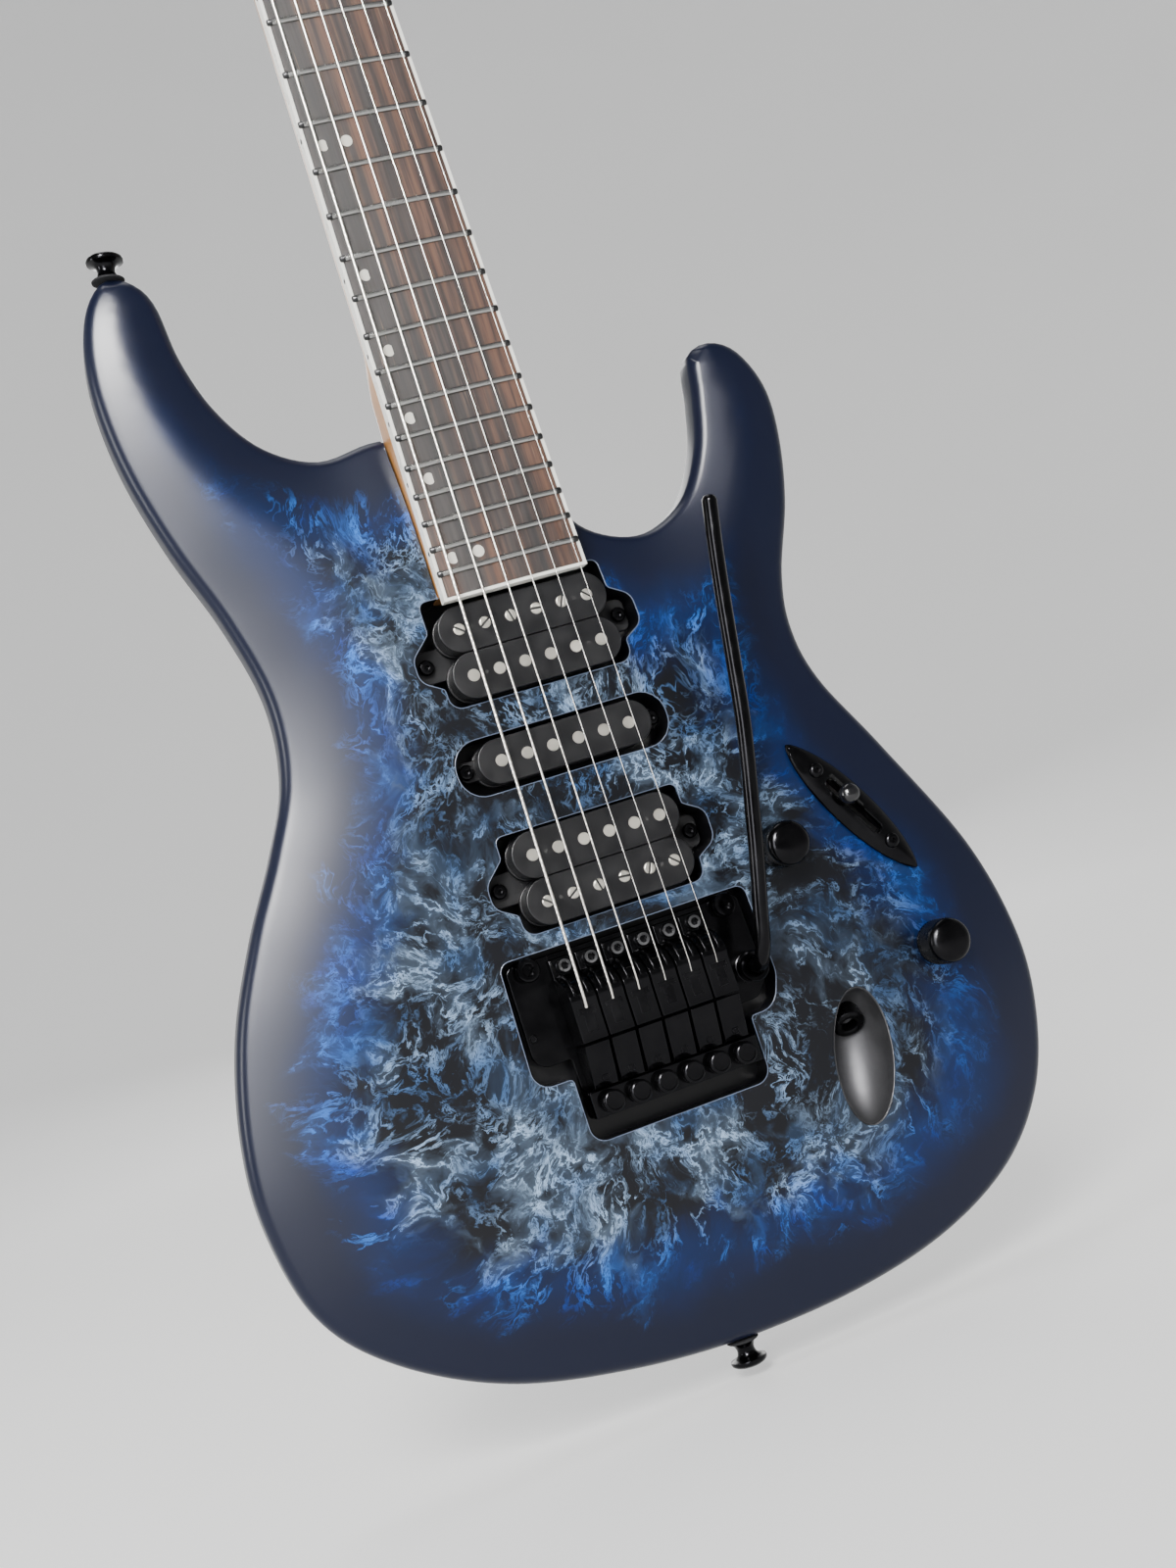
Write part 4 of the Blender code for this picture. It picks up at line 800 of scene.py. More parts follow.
def jack_ellipse(half_width, half_length, count=64):
    points = []
    for step in range(count):
        angle = 2 * math.pi * step / count
        across = half_width * math.cos(angle)
        along = half_length * math.sin(angle)
        points.append((JACK.x + across * math.cos(JACK_TILT) + along * math.sin(JACK_TILT),
                       JACK.z - across * math.sin(JACK_TILT) + along * math.cos(JACK_TILT)))
    return points


def jack_bowl(half_width, half_length, depth):
    bm = bmesh.new()
    bmesh.ops.create_uvsphere(bm, u_segments=64, v_segments=32, radius=1.0)
    bmesh.ops.scale(bm, vec=(half_width, depth, half_length), verts=bm.verts)
    turn = Matrix.Translation(JACK) @ Matrix.Rotation(JACK_TILT, 4, "Y")
    bmesh.ops.transform(bm, matrix=turn, verts=bm.verts)
    return bm


def switch_point(along, y, across=0.0):
    side = SWITCH_ALONG.cross(Vector((0, 1, 0)))
    return Vector((SWITCH.x, y, SWITCH.z)) + SWITCH_ALONG * along + side * across


def tremolo_recess():
    return rounded([
        (-51, -631.6, 4), (51, -631.6, 4), (52.6, -668, 12), (48, -680.5, 9), (37.2, -680.5, 1.5),
        (37.2, -706, 6), (-37.2, -706, 6), (-37.2, -680.5, 1.5), (-52.2, -680.5, 7)])


MIDDLE_OPENING = rounded([(-43.5, -548.6, 10), (-43.5, -570.6, 10), (43.5, -570.6, 10), (43.5, -548.6, 10)])
NECK_BOLTS = ((-15, -449), (5, -456), (-15, -482), (15, -482))


def sheet_bm(outline, surface, near, far, pitch=7.0):
    """A sheet that follows one of the body's surfaces, from near to far beyond it in y."""
    loop = [Vector(p) for p in outline]
    bm = bmesh.new()
    add_loft(bm, loop, grid_inside(loop, pitch, pitch * 0.45),
             lambda p: surface(p) + near, lambda p: surface(p) + far)
    return bm


def make_body():
    rings = [inset_ring(BODY_LOOP, inset) for inset in (0.15, 0.6, 1.3, 2.2, 3.2, 4.2, 6.5, 10.0)]
    bm = bmesh.new()
    inner = np.vstack(rings + [grid_inside(BODY_LOOP, 6.0, 12.5)])
    add_loft(bm, BODY_LOOP, inner, front_surface, back_surface)
    shell = piece("body_shell", bm, "paint", "guitar", ("body",))

    pocket = [(-29.1, -420), (29.1, -420), (29.7, -493.4), (-29.7, -493.4)]
    springs = rounded([(-35.4, -669.6, 3), (35.4, -669.6, 3), (35.4, -537, 3), (-35.4, -537, 3)])
    slot = [switch_point(s * 15, 0, t * 2.6) for s, t in ((-1, -1), (1, -1), (1, 1), (-1, 1))]
    lid = -2.6
    cutters = [
        prism_bm(pocket, -10, 23.2),
        prism_bm(humbucker_opening(NECK_PICKUP_Z), -10, 27),
        prism_bm(humbucker_opening(BRIDGE_PICKUP_Z), -10, 27),
        prism_bm(MIDDLE_OPENING, -10, 27),
        prism_bm(tremolo_recess(), -10, 20),
        box_bm((-35, 10, -669), (35, 60, -642.5)),
        prism_bm(springs, 29.5, 60),
        sheet_bm(tremolo_cover_outline(GAP), back_surface, lid, 6),
        prism_bm(control_outline(-1), 15.2, 60),
        sheet_bm(control_outline(5 + GAP), back_surface, lid, 6),
        prism_bm([(p.x, p.z) for p in slot], 0, 20),
        jack_bowl(12.5, 27.0, 19.4),
        rod_bm(JACK_FACE, JACK_FACE - JACK_OUT * 26, 7.4)]
    for place in (VOLUME, TONE):
        cutters.append(rod_bm((place.x, 0, place.z), (place.x, 20, place.z), 4.6))
    for side in (-1, 1):
        cutters.append(rod_bm((side * STUD_X, 5, STUD_Z), (side * STUD_X, 38, STUD_Z), 4.4))
        cutters.append(rod_bm(switch_point(side * 20.7, 0), switch_point(side * 20.7, 20), 1.9))
    for x, z in NECK_BOLTS:
        cutters.append(rod_bm((x, 15, z), (x, 60, z), 2.8, 12))
    carved(shell, cutters)

    mesh = shell.data
    places = np.array([vertex.co for vertex in mesh.vertices]) / MM
    flat = places[:, [0, 2]]
    inset = distance_to(BODY_LOOP, flat)
    near_front = np.abs(front_surface(flat) - places[:, 1]) < 0.35
    near_back = np.abs(back_surface(flat) - places[:, 1]) < 0.35
    skin = near_front | near_back
    skin |= inset < 0.3
    mesh.attributes.new("rim_distance", "FLOAT", "POINT").data.foreach_set("value", inset.astype(np.float32))
    mesh.attributes.new("inside", "FLOAT", "POINT").data.foreach_set("value", (~skin).astype(np.float32))

    # Thin beads along the pocket outlines, much lighter than the paint: a painted highlight on the cavity
    # edges.
    edges = bmesh.new()
    pocket_edge = [(-29.7, -493.4), (-29.2, -430)]
    for outline in (humbucker_opening(NECK_PICKUP_Z), humbucker_opening(BRIDGE_PICKUP_Z), MIDDLE_OPENING,
                    tremolo_recess()):
        loop = resampled([Vector(p) for p in outline], 1.2)
        heights = front_surface(np.array([tuple(p) for p in loop]))
        add_tube(edges, [(p.x, y + 0.12, p.y) for p, y in zip(loop, heights)], 0.2, 8, closed=True)
    for side in (-1, 1):
        add_tube(edges, [(side * -x, front_at(x, z) + 0.12, z) for x, z in pocket_edge], 0.24, 8)
    piece("painted_highlight_edges", edges, "painted_highlight_edge", "guitar", ("body",))


# ---------------------------------------------------------------- neck and fingerboard
def fret_z(number):
    return -SCALE_LENGTH * (1.0 - 2.0 ** (-number / 12.0))


def board_half_width(z):
    return (NUT_WIDTH + (BOARD_END_WIDTH - NUT_WIDTH) * z / BOARD_END_Z) / 2


def camber(x):
    return x * x / (2 * BOARD_RADIUS)


def string_x(number, z):
    """x of string 1 (thinnest, treble) to 6 (thickest, bass) at a height z."""
    rank = 3.5 - number
    return rank * (NUT_PITCH + (BRIDGE_PITCH - NUT_PITCH) * z / CREST[1])


def head_matrix():
    """From headstock space (x across, y into the wood, z up the head) to the frame."""
    return Matrix.Translation(HEAD_START) @ Matrix.Rotation(-HEAD_TILT, 4, "X")


def post_place(number):
    """Across and along position of a tuning post on the headstock."""
    ends = []
    for string, w in ((6, 32.0), (1, 157.0)):
        world_z = HEAD_START.z + w * math.cos(HEAD_TILT)
        ends.append(Vector((string_x(string, world_z) - 3.9, w)))
    return ends[0].lerp(ends[1], (6 - number) / 5)


def head_outline():
    along = (post_place(1) - post_place(6)).normalized()
    outward = Vector((-along.y, along.x))
    low_corner = post_place(6) + outward * 12.5 - along * 8
    high_corner = post_place(1) + outward * 12.5 + along * 8
    return rounded([(-21.5, 0, 0), (-22, 7, 12), (*low_corner, 9), (*high_corner, 12), (12, 192, 12),
                    (38, 184, 10), (34, 130, 60), (26, 70, 60), (21.5, 22, 30), (21.5, 0, 0)], 10)


def make_neck():
    stations = [(16, 21.0, 0.1), (6, 19.5, 0.0), (-10, 18.2, 0.0), (-100, 18.5, 0.0), (-240, 19.2, 0.0),
                (-330, 19.9, 0.0), (-395, 20.5, 0.0), (-401, 21.4, 0.2), (-407, 22.3, 0.5), (-412, 22.9, 0.8),
                (-425, 22.9, 1.0), (-493.1, 22.9, 1.0)]
    steps = 28
    top = BOARD_THICKNESS + GAP
    bm = bmesh.new()
    rings = []
    for z, back, square in stations:
        power = 2.1 + 9.0 * square
        half = board_half_width(z)
        ring = []
        for step in range(steps + 1):
            angle = math.pi * step / steps
            c, s = math.cos(angle), math.sin(angle)
            x = half * math.copysign(abs(c) ** (2 / power), c)
            ring.append(bm.verts.new((x, top + (back - top) * s ** (2 / power), z)))
        rings.append(ring)
    for first, second in zip(rings, rings[1:]):
        for i in range(steps + 1):
            j = (i + 1) % (steps + 1)
            bm.faces.new((first[i], first[j], second[j], second[i]))
    bm.faces.new(rings[0])
    bm.faces.new(reversed(rings[-1]))
    piece("neck_shaft", bm, "maple", "guitar", ("neck",), angle=50)

    bm = bmesh.new()
    add_prism(bm, head_outline(), 0.5, HEAD_THICKNESS)
    moved_by(bm, 0, head_matrix())
    piece("headstock", bm, "maple", "guitar", ("neck",), bevel=0.9)
    bm = bmesh.new()
    add_prism(bm, head_outline(), 0.0, 0.55)
    moved_by(bm, 0, head_matrix())
    piece("headstock_face", bm, "head_face", "guitar", ("neck",), bevel=0.2)

    bm = bmesh.new()
    cover = rounded([(-8, 5, 2), (8, 5, 2), (9.5, 22, 6), (5, 34, 5), (-5, 34, 5), (-9.5, 22, 6)])
    add_prism(bm, cover, -1.6, 0.0)
    moved_by(bm, 0, head_matrix())
    piece("truss_rod_cover", bm, "gloss_black", "guitar", bevel=0.3)
    bm = bmesh.new()
    for u, w in ((-5.5, 9), (5.5, 9), (0, 30)):
        start = len(bm.verts)
        add_turned(bm, [(1.5, 0), (1.5, 0.3), (1.1, 0.7), (0.5, 0.8), (0.5, 0.3), (0, 0.3)],
                   (u, -1.5, w), (0, -1, 0), 18)
        moved_by(bm, start, head_matrix())
    piece("truss_cover_screws", bm, "black_metal", "guitar")


def board_rings(bm, stations, shrink, underside, columns=24):
    rings = []
    for z in stations:
        half = board_half_width(z) - shrink
        xs = [half * (2 * step / columns - 1) for step in range(columns + 1)]
        ring = [(x, camber(x), z) for x in xs] + [(half, underside, z), (-half, underside, z)]
        rings.append([bm.verts.new(place) for place in ring])
    for first, second in zip(rings, rings[1:]):
        for i in range(len(first)):
            j = (i + 1) % len(first)
            bm.faces.new((first[i], first[j], second[j], second[i]))
    bm.faces.new(rings[0])
    bm.faces.new(reversed(rings[-1]))


def make_fingerboard():
    bm = bmesh.new()
    board_rings(bm, [-GAP, -120, -240, -360, BOARD_END_Z + BINDING - 0.1], BINDING - 0.05, BOARD_THICKNESS)
    piece("fingerboard_wood", bm, "rosewood", "guitar", ("fingerboard",))

    bm = bmesh.new()
    profile = [(-1.25, 0.05), (-1.15, -0.45), (-0.75, -0.92), (-0.3, -1.16), (0.3, -1.16), (0.75, -0.92),
               (1.15, -0.45), (1.25, 0.05)]
    for number in range(1, FRET_COUNT + 1):
        z = fret_z(number)
        half = board_half_width(z) - 0.35
        rings = []
        for step in range(13):
            x = half * (2 * step / 12 - 1)
            fall = 0.55 if step in (0, 12) else 1.0
            rings.append([bm.verts.new((x * (1.0 if fall == 1.0 else 0.998), camber(x) + dy * fall, z + dz))
                          for dz, dy in profile])
        for first, second in zip(rings, rings[1:]):
            for i in range(len(profile)):
                j = (i + 1) % len(profile)
                bm.faces.new((first[i], first[j], second[j], second[i]))
        bm.faces.new(rings[0])
        bm.faces.new(reversed(rings[-1]))
    piece("fret_wires", bm, "nickel", "guitar", ("frets",), angle=50)

    # Sleeves over the last 2.3 mm of each fret in near-black metal: painted shade on the fret ends where they
    # meet the binding.
    bm = bmesh.new()
    for number in range(1, FRET_COUNT + 1):
        z = fret_z(number)
        half = board_half_width(z)
        for side in (-1, 1):
            rings = []
            for back, grow in ((2.3, 1.03), (0.7, 1.03), (0.35, 0.85), (0.15, 0.45)):
                x = side * (half - back)
                rings.append([bm.verts.new((x, camber(x) + dy * grow, z + dz * grow)) for dz, dy in profile])
            for first, second in zip(rings, rings[1:]):
                for i in range(len(profile)):
                    j = (i + 1) % len(profile)
                    bm.faces.new((first[i], first[j], second[j], second[i]))
            bm.faces.new(rings[0])
            bm.faces.new(reversed(rings[-1]))
    piece("painted_shade_fret_ends", bm, "painted_shade_fret_end", "guitar", ("frets",), angle=50)

    bm = bmesh.new()
    places = [(number, -0.705) for number in (3, 5, 7, 9, 15, 17, 19, 21)]
    places += [(number, share) for number in (12, 24) for share in (-0.725, -0.37)]
    for number, share in places:
        z = (fret_z(number) + fret_z(number - 1)) / 2
        x = share * board_half_width(z)
        add_turned(bm, [(2.3, -1.0), (2.3, 0.03), (2.1, 0.06), (0, 0.06)], (x, camber(x), z), (0, -1, 0), 36)
    piece("position_dots", bm, "pearl", "guitar", ("fingerboard",))

    bm = bmesh.new()
    for number in (3, 5, 7, 9, 12, 15, 17, 19, 21, 24):
        z = (fret_z(number) + fret_z(number - 1)) / 2
        offsets = (-4, 4) if number in (12, 24) else (0,)
        for offset in offsets:
            add_turned(bm, [(1.0, -0.5), (1.0, 0.04), (0, 0.04)],
                       (-board_half_width(z), 2.6, z + offset), (-1, 0, 0), 20)
    piece("side_dots", bm, "gloss_black", "guitar")


def make_nut():
    half = NUT_WIDTH / 2
    bm = bmesh.new()
    add_box(bm, (-half, NUT_TOP_Y, 0.0), (half, BOARD_THICKNESS - 0.3, 13.0))
    piece("nut_base", bm, "black_metal", "guitar", ("nut",), bevel=0.4)
    clamp_y = NUT_TOP_Y - 2 * GAP - max(STRING_GAUGES)
    clamps = bmesh.new()
    screws = bmesh.new()
    for pair in (-1, 0, 1):
        x = pair * 2 * NUT_PITCH
        add_prism(clamps, rounded([(x - 6.4, 1, 1), (x + 6.4, 1, 1), (x + 6.4, 12, 1), (x - 6.4, 12, 1)]),
                  clamp_y - 4.2, clamp_y)
        add_turned(screws, [(2.4, -6), (2.4, 1.0), (2.1, 1.2), (1.4, 1.2), (1.25, 1.0, 6), (1.25, -0.8, 6),
                            (0, -0.8)], (x, clamp_y - 4.2, 6.5), (0, -1, 0))
    piece("nut_clamps", clamps, "black_metal", "guitar", ("nut",), bevel=0.6)
    piece("nut_screws", screws, "satin_metal", "guitar", ("nut",))


def make_neck_plate():
    outline = rounded([(-22, -440, 6), (4, -446, 6), (22, -470, 6), (22, -491, 6), (-22, -491, 6)])
    piece("neck_bolt_plate", sheet_bm(outline, back_surface, 5 * GAP, 5 * GAP + 2.2), "black_metal", "guitar",
          ("neck_plate",), bevel=0.5)
    bm = bmesh.new()
    for x, z in NECK_BOLTS:
        add_turned(bm, [(2.4, -12), (2.4, 2.4), (4.6, 2.4), (4.6, 3.6), (4.1, 4.4), (3.0, 4.9), (1.9, 5.0),
                        (1.5, 4.8, 6), (1.2, 3.2, 6), (0, 3.2)], (x, back_at(x, z), z), (0, 1, 0))
    piece("neck_bolts", bm, "satin_metal", "guitar", ("neck_plate",))


def make_tuners():
    along = (post_place(1) - post_place(6)).normalized()
    turn = Matrix.Rotation(math.atan2(along.x, along.y), 4, "Y")
    foot = post_place(6)
    rail_frame = head_matrix() @ Matrix.Translation((foot.x, 0, foot.y)) @ turn
    pitch = (post_place(1) - foot).length / 5
    back = HEAD_THICKNESS + GAP
    bm = bmesh.new()
    add_prism(bm, rounded([(-9, -10, 2), (7, -10, 2), (7, 5 * pitch + 10, 2), (-9, 5 * pitch + 10, 2)]),
              back, back + 1.6)
    for index in range(6):
        z = index * pitch
        add_prism(bm, rounded([(-11, z - 7, 3), (6, z - 7, 4), (6, z + 7, 4), (-11, z + 7, 3)]),
                  back + 0.8, back + 9.5)
    moved_by(bm, 0, rail_frame)
    piece("tuner_housings", bm, "black_metal", "guitar", ("tuner_rail",), bevel=0.8)

    bm = bmesh.new()
    for index in range(6):
        z = index * pitch
        add_turned(bm, [(1.8, 0), (1.8, 0.7), (1.5, 1.0), (0.9, 1.0), (0.8, 0.5), (0, 0.5)],
                   (-1.0, back + 9.4, z), (0, 1, 0), 24)
        nut = [(4.3, 0, 6), (4.3, 1.7, 6), (4.1, 2.1), (3.2, 2.2), (3.2, 0.3)]
        add_turned(bm, nut, (0, 0, z), (0, -1, 0))
        add_turned(bm, [(5.4, 0), (5.4, 0.4), (5.0, 0.7), (0, 0.7)], (0, 0.1, z), (0, -1, 0))
    moved_by(bm, 0, rail_frame)
    piece("tuner_bushings", bm, "satin_metal", "guitar", ("tuner_rail",))

    for number in range(1, 7):
        offset = (6 - number) * pitch
        bm = bmesh.new()
        add_turned(bm, [(3.0, -13.7), (3.0, 4.6), (2.7, 5.1), (2.5, 5.6), (2.5, 7.6), (2.7, 8.1), (3.0, 8.6),
                        (3.0, 10.2), (2.6, 10.8), (2.0, 11.0), (0.7, 11.0), (0.7, 9.2), (0, 9.2)],
                   (0, 0, offset), (0, -1, 0))
        moved_by(bm, 0, rail_frame)
        body = f"tuner_post_{number}"
        piece(f"string_post_{number}", bm, "black_metal", body, (body,))

        radius = STRING_GAUGES[number - 1] / 2
        bm = bmesh.new()
        wraps = []
        for step in range(97):
            angle = 2 * math.pi * step / 36
            height = 6.6 - (2 * radius + 0.04) * step / 36 * 0.9
            reach = 3.3 + radius
            wraps.append((reach * math.cos(angle), -height, offset + reach * math.sin(angle)))
        add_tube(bm, wraps, radius)
        moved_by(bm, 0, rail_frame)
        piece(f"string_wraps_{number}", bm, "string_steel", body)

        centre = Vector((-11 - GAP, back + 5.2, offset))
        bm = bmesh.new()
        add_turned(bm, [(2.0, 0), (2.0, 4.4), (2.6, 5.2), (4.0, 6.6), (4.9, 8.6), (5.3, 10.6), (5.4, 12.6),
                        (5.3, 15.0), (4.9, 16.8), (4.2, 18.0), (3.0, 18.7), (0, 19.0)], (0, 0, 0), (-1, 0, 0))
        moved_by(bm, 0, Matrix.Translation(centre) @ Matrix.Diagonal((1, 1, 1.5, 1)))
        moved_by(bm, 0, rail_frame)
        body = f"tuner_button_{number}"
        piece(f"tuner_key_{number}", bm, "black_metal", body, (body,))


def make_strings():
    for number in range(1, 7):
        radius = STRING_GAUGES[number - 1] / 2
        nut_y = NUT_TOP_Y - GAP - radius
        crest = Vector((string_x(number, CREST[1]), CREST[0] - GAP - radius, CREST[1]))
        place = post_place(number)
        post = head_matrix() @ Vector((place.x + 3.0 + GAP + radius, -6.6, place.y))
        behind_nut = Vector((string_x(number, 15), nut_y, 15))
        start = Vector((string_x(number, 0), nut_y, 0))
        path = [crest + Vector((0, 0.9, -4.4)), crest + Vector((0, 0.25, -1.6))]
        steps = (0, 0.004, 0.01, 0.02, 0.035, 0.05, 0.065, 0.085, 0.11, 0.2, 1)
        path += [crest.lerp(start, t) for t in steps]
        path += [behind_nut, behind_nut.lerp(post, 0.12) + Vector((0, 0.6, 0)), post]
        bm = bmesh.new()
        add_tube(bm, path, radius, 12)
        material = "wound" if number >= 4 else "string_steel"
        string = piece(f"string_wire_{number}", bm, material, None, (f"string_{number}",))
        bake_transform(string)


# ---------------------------------------------------------------- tremolo
def make_tremolo():
    outline = rounded([
        (-48.6, -636, 2), (-46.5, -633.8, 2), (46.5, -633.8, 2), (48.6, -636, 2), (50, -668, 5),
        (44, -675, 5), (34.5, -675.2, 1), (34.5, -697.5, 2), (-34.5, -697.5, 2), (-34.5, -673.6, 1),
        (-48.8, -673.6, 6)])
    plate = piece("tremolo_base", prism_bm(outline, PLATE_FRONT_Y, 14.6), "black_metal", "tremolo",
                  ("tremolo_plate",))
    cutters = [rod_bm((ARM.x, 0, ARM.z), (ARM.x, 20, ARM.z), 3.4)]
    for side in (-1, 1):
        x = side * STUD_X
        cutters.append(rod_bm((x, 0, STUD_Z), (x, 30, STUD_Z), 3.9))
        cutters.append(box_bm((x - 3.7, -1, STUD_Z), (x + 3.7, 31, STUD_Z + 7)))
    carved(plate, cutters)
    soften_edges(plate, 0.5, 3)

    bm = bmesh.new()
    add_box(bm, (-33, 14.0, -662), (33, 40, -646))
    add_box(bm, (-34.5, 2.8, -697), (34.5, 6.0, -687))
    for side in (-1, 1):
        edges = sorted((side * 32.7, side * 34.5))
        add_side_prism(bm, [(3.4, -697), (3.4, -688.5), (7.0, -686), (13, -684), (13, -697)], *edges)
    piece("tremolo_block", bm, "black_metal", "tremolo", ("tremolo_plate",), bevel=0.45)

    bm = bmesh.new()
    add_turned(bm, [(6.1, -16.6), (6.1, -4.6), (5.4, -4.3), (5.4, -3.7), (6.1, -3.4), (6.1, 0.2), (5.6, 0.8),
                    (4.1, 0.8), (3.5, 0.4), (3.4, -12), (0, -12)], (ARM.x, 3.6 + 0.8, ARM.z), (0, -1, 0), 48)
    piece("arm_collar", bm, "black_metal", "tremolo", ("tremolo_plate",))
    bm = bmesh.new()
    for side in (-1, 1):
        add_turned(bm, [(1.6, 0), (1.6, 0.5), (1.3, 0.8), (0.8, 0.8, 6), (0.8, 0.1, 6), (0, 0.1)],
                   (side * 46.0, PLATE_FRONT_Y, -662), (0, -1, 0))
    piece("plate_screws", bm, "satin_metal", "tremolo", ("tremolo_plate",))

    foot = PLATE_FRONT_Y - GAP
    for number in range(1, 7):
        x = string_x(number, CREST[1])
        name = f"saddle_{number}"
        bm = bmesh.new()
        nose = [(foot, -635.8), (foot - 1.3, -635.8), (foot - 1.6, -636.4), (foot - 1.8, -643.2),
                (2.0, -645.6),
                (-1.9, -649.2), (-3.0, -650.9), (CREST[0], CREST[1]), (-3.3, -653.6), (-2.9, -656.0),
                (-2.7, -668.9), (foot, -669.3)]
        add_side_prism(bm, nose, x - 5.1, x + 5.1)
        for side in (-1, 1):
            rail = [(foot - 3.2, -642.0), (-0.6, -645.0), (-3.2, -649.6), (-3.2, -651.6), (0, -652),
                    (foot, -644)]
            edges = sorted((x + side * 2.0, x + side * 3.3))
            add_side_prism(bm, rail, *edges)
        lever = [(-2.3, -669.9), (-1.4, -671.6), (2.2, -684.6), (2.9, -686.5), (8.4, -686.8), (9.4, -695.8),
                 (foot, -695.8), (foot, -670.4)]
        add_side_prism(bm, lever, x - 4.9, x + 4.9)
        piece(f"saddle_block_{number}", bm, "black_metal", "tremolo", (name,), bevel=0.4)
        bm = bmesh.new()
        add_box(bm, (x - 3.4, -3.15, -658.6), (x + 3.4, -1.0, -656.4))
        add_box(bm, (x - 1.9, -3.05, -665.4), (x + 1.9, -1.0, -658.0))
        add_box(bm, (x - 1.2, 1.3, -684.2), (x + 1.2, 4.0, -682.0))
        # A near-black hex plug raising the floor of the saddle bolt's socket: painted shade in the socket.
        add_turned(bm, [(1.2, -0.5, 6), (1.2, 1.2, 6), (0, 1.2)], (x, foot - 1.7, -639.4), (0, -1, 0))
        piece(f"string_lock_and_socket_shade_{number}", bm, "satin_metal", "tremolo", (name,), bevel=0.22)
        bm = bmesh.new()
        add_turned(bm, [(2.8, -1.0), (2.8, 2.4), (2.45, 2.9), (1.5, 3.0), (1.25, 2.8, 6), (1.25, 0.8, 6),
                        (0, 0.8)],
                   (x, foot - 1.7, -639.4), (0, -1, 0))
        piece(f"saddle_bolt_{number}", bm, "bolt", "tremolo", (name,))

        tuner_x = (3.5 - number) * (BRIDGE_PITCH + 0.1)
        bm = bmesh.new()
        add_turned(bm, [(1.5, -6.3), (1.5, 0), (4.0, 0.0), (4.3, 0.3), (4.3, 1.1), (4.05, 1.3), (4.05, 1.6),
                        (4.3, 1.8), (4.3, 4.1), (3.9, 4.6), (3.4, 4.75), (3.1, 4.5), (0, 4.45)],
                   (tuner_x, 2.5, -692), (0, -1, 0), 48)
        piece(f"fine_tuner_knob_{number}", bm, "black_metal", f"fine_tuner_{number}",
              (f"fine_tuner_{number}",))

    for name, side in (("stud_bass", -1), ("stud_treble", 1)):
        bm = bmesh.new()
        add_turned(bm, [(3.5, -22), (3.5, 4.9), (4.5, 5.3), (4.6, 5.6), (4.6, 7.7), (4.2, 8.3), (3.4, 8.4),
                        (2.4, 8.3), (2.1, 8.0, 6), (2.1, 4.6, 6), (0, 4.6)],
                   (side * STUD_X, 15.0, STUD_Z), (0, -1, 0), 48)
        piece(f"{name}_post", bm, "black_metal", "guitar", (name,))


def smooth_path(knots, steps=8):
    """Catmull-Rom curve through open 3D knots."""
    knots = [Vector(k) for k in knots]
    padded = [knots[0] * 2 - knots[1]] + knots + [knots[-1] * 2 - knots[-2]]
    points = []
    for a, b, c, d in zip(padded, padded[1:], padded[2:], padded[3:]):
        for step in range(steps):
            t = step / steps
            points.append(0.5 * ((2 * b) + (c - a) * t + (2 * a - 5 * b + 4 * c - d) * t * t
                                 + (3 * b - a - 3 * c + d) * t ** 3))
    return points + [knots[-1]]


def make_arm():
    x, z = ARM.x, ARM.z
    knots = [(x, 15.0, z), (x, 1.0, z), (x + 0.2, -3.5, z + 1.3), (x + 0.7, -6.6, z + 4.4),
             (x + 1.9, -8.6, z + 9.5), (47.3, -10.2, -643.0), (50.8, -12.2, -627.5), (54.1, -13.5, -612.9),
             (61.7, -16.5, -576.7), (66.0, -18.0, -549.6), (69.4, -19.0, -527.5), (73.0, -20.1, -506.0),
             (76.2, -21.0, -489.5)]
    bm = bmesh.new()
    add_tube(bm, smooth_path(knots), 3.0, 28)
    add_turned(bm, [(2.99, -0.6), (2.95, 0.3), (2.7, 1.1), (2.2, 1.8), (1.4, 2.25), (0, 2.4)], knots[-1],
               Vector((3.2, -0.9, 16.5)), 28)
    piece("tremolo_bar", bm, "black_metal", "arm", ("tremolo_arm",), angle=50)


# ---------------------------------------------------------------- pickups
def bobbin_outline(half_length, z_low, z_high):
    radius = (z_high - z_low) / 2 - 0.1
    return rounded([(-half_length, z_low, radius), (half_length, z_low, radius),
                    (half_length, z_high, radius), (-half_length, z_high, radius)], 12)


def pole_x(number):
    return (3.5 - number) * POLE_PITCH


def add_bobbin(flanges, coil, half_length, z_low, z_high):
    add_prism(flanges, bobbin_outline(half_length, z_low, z_high), PICKUP_TOP_Y, PICKUP_TOP_Y + 1.9)
    add_prism(flanges, bobbin_outline(half_length, z_low, z_high), 16.0, 18.0)
    add_prism(coil, bobbin_outline(half_length - 0.7, z_low + 0.7, z_high - 0.7), PICKUP_TOP_Y + 1.0, 17.0)


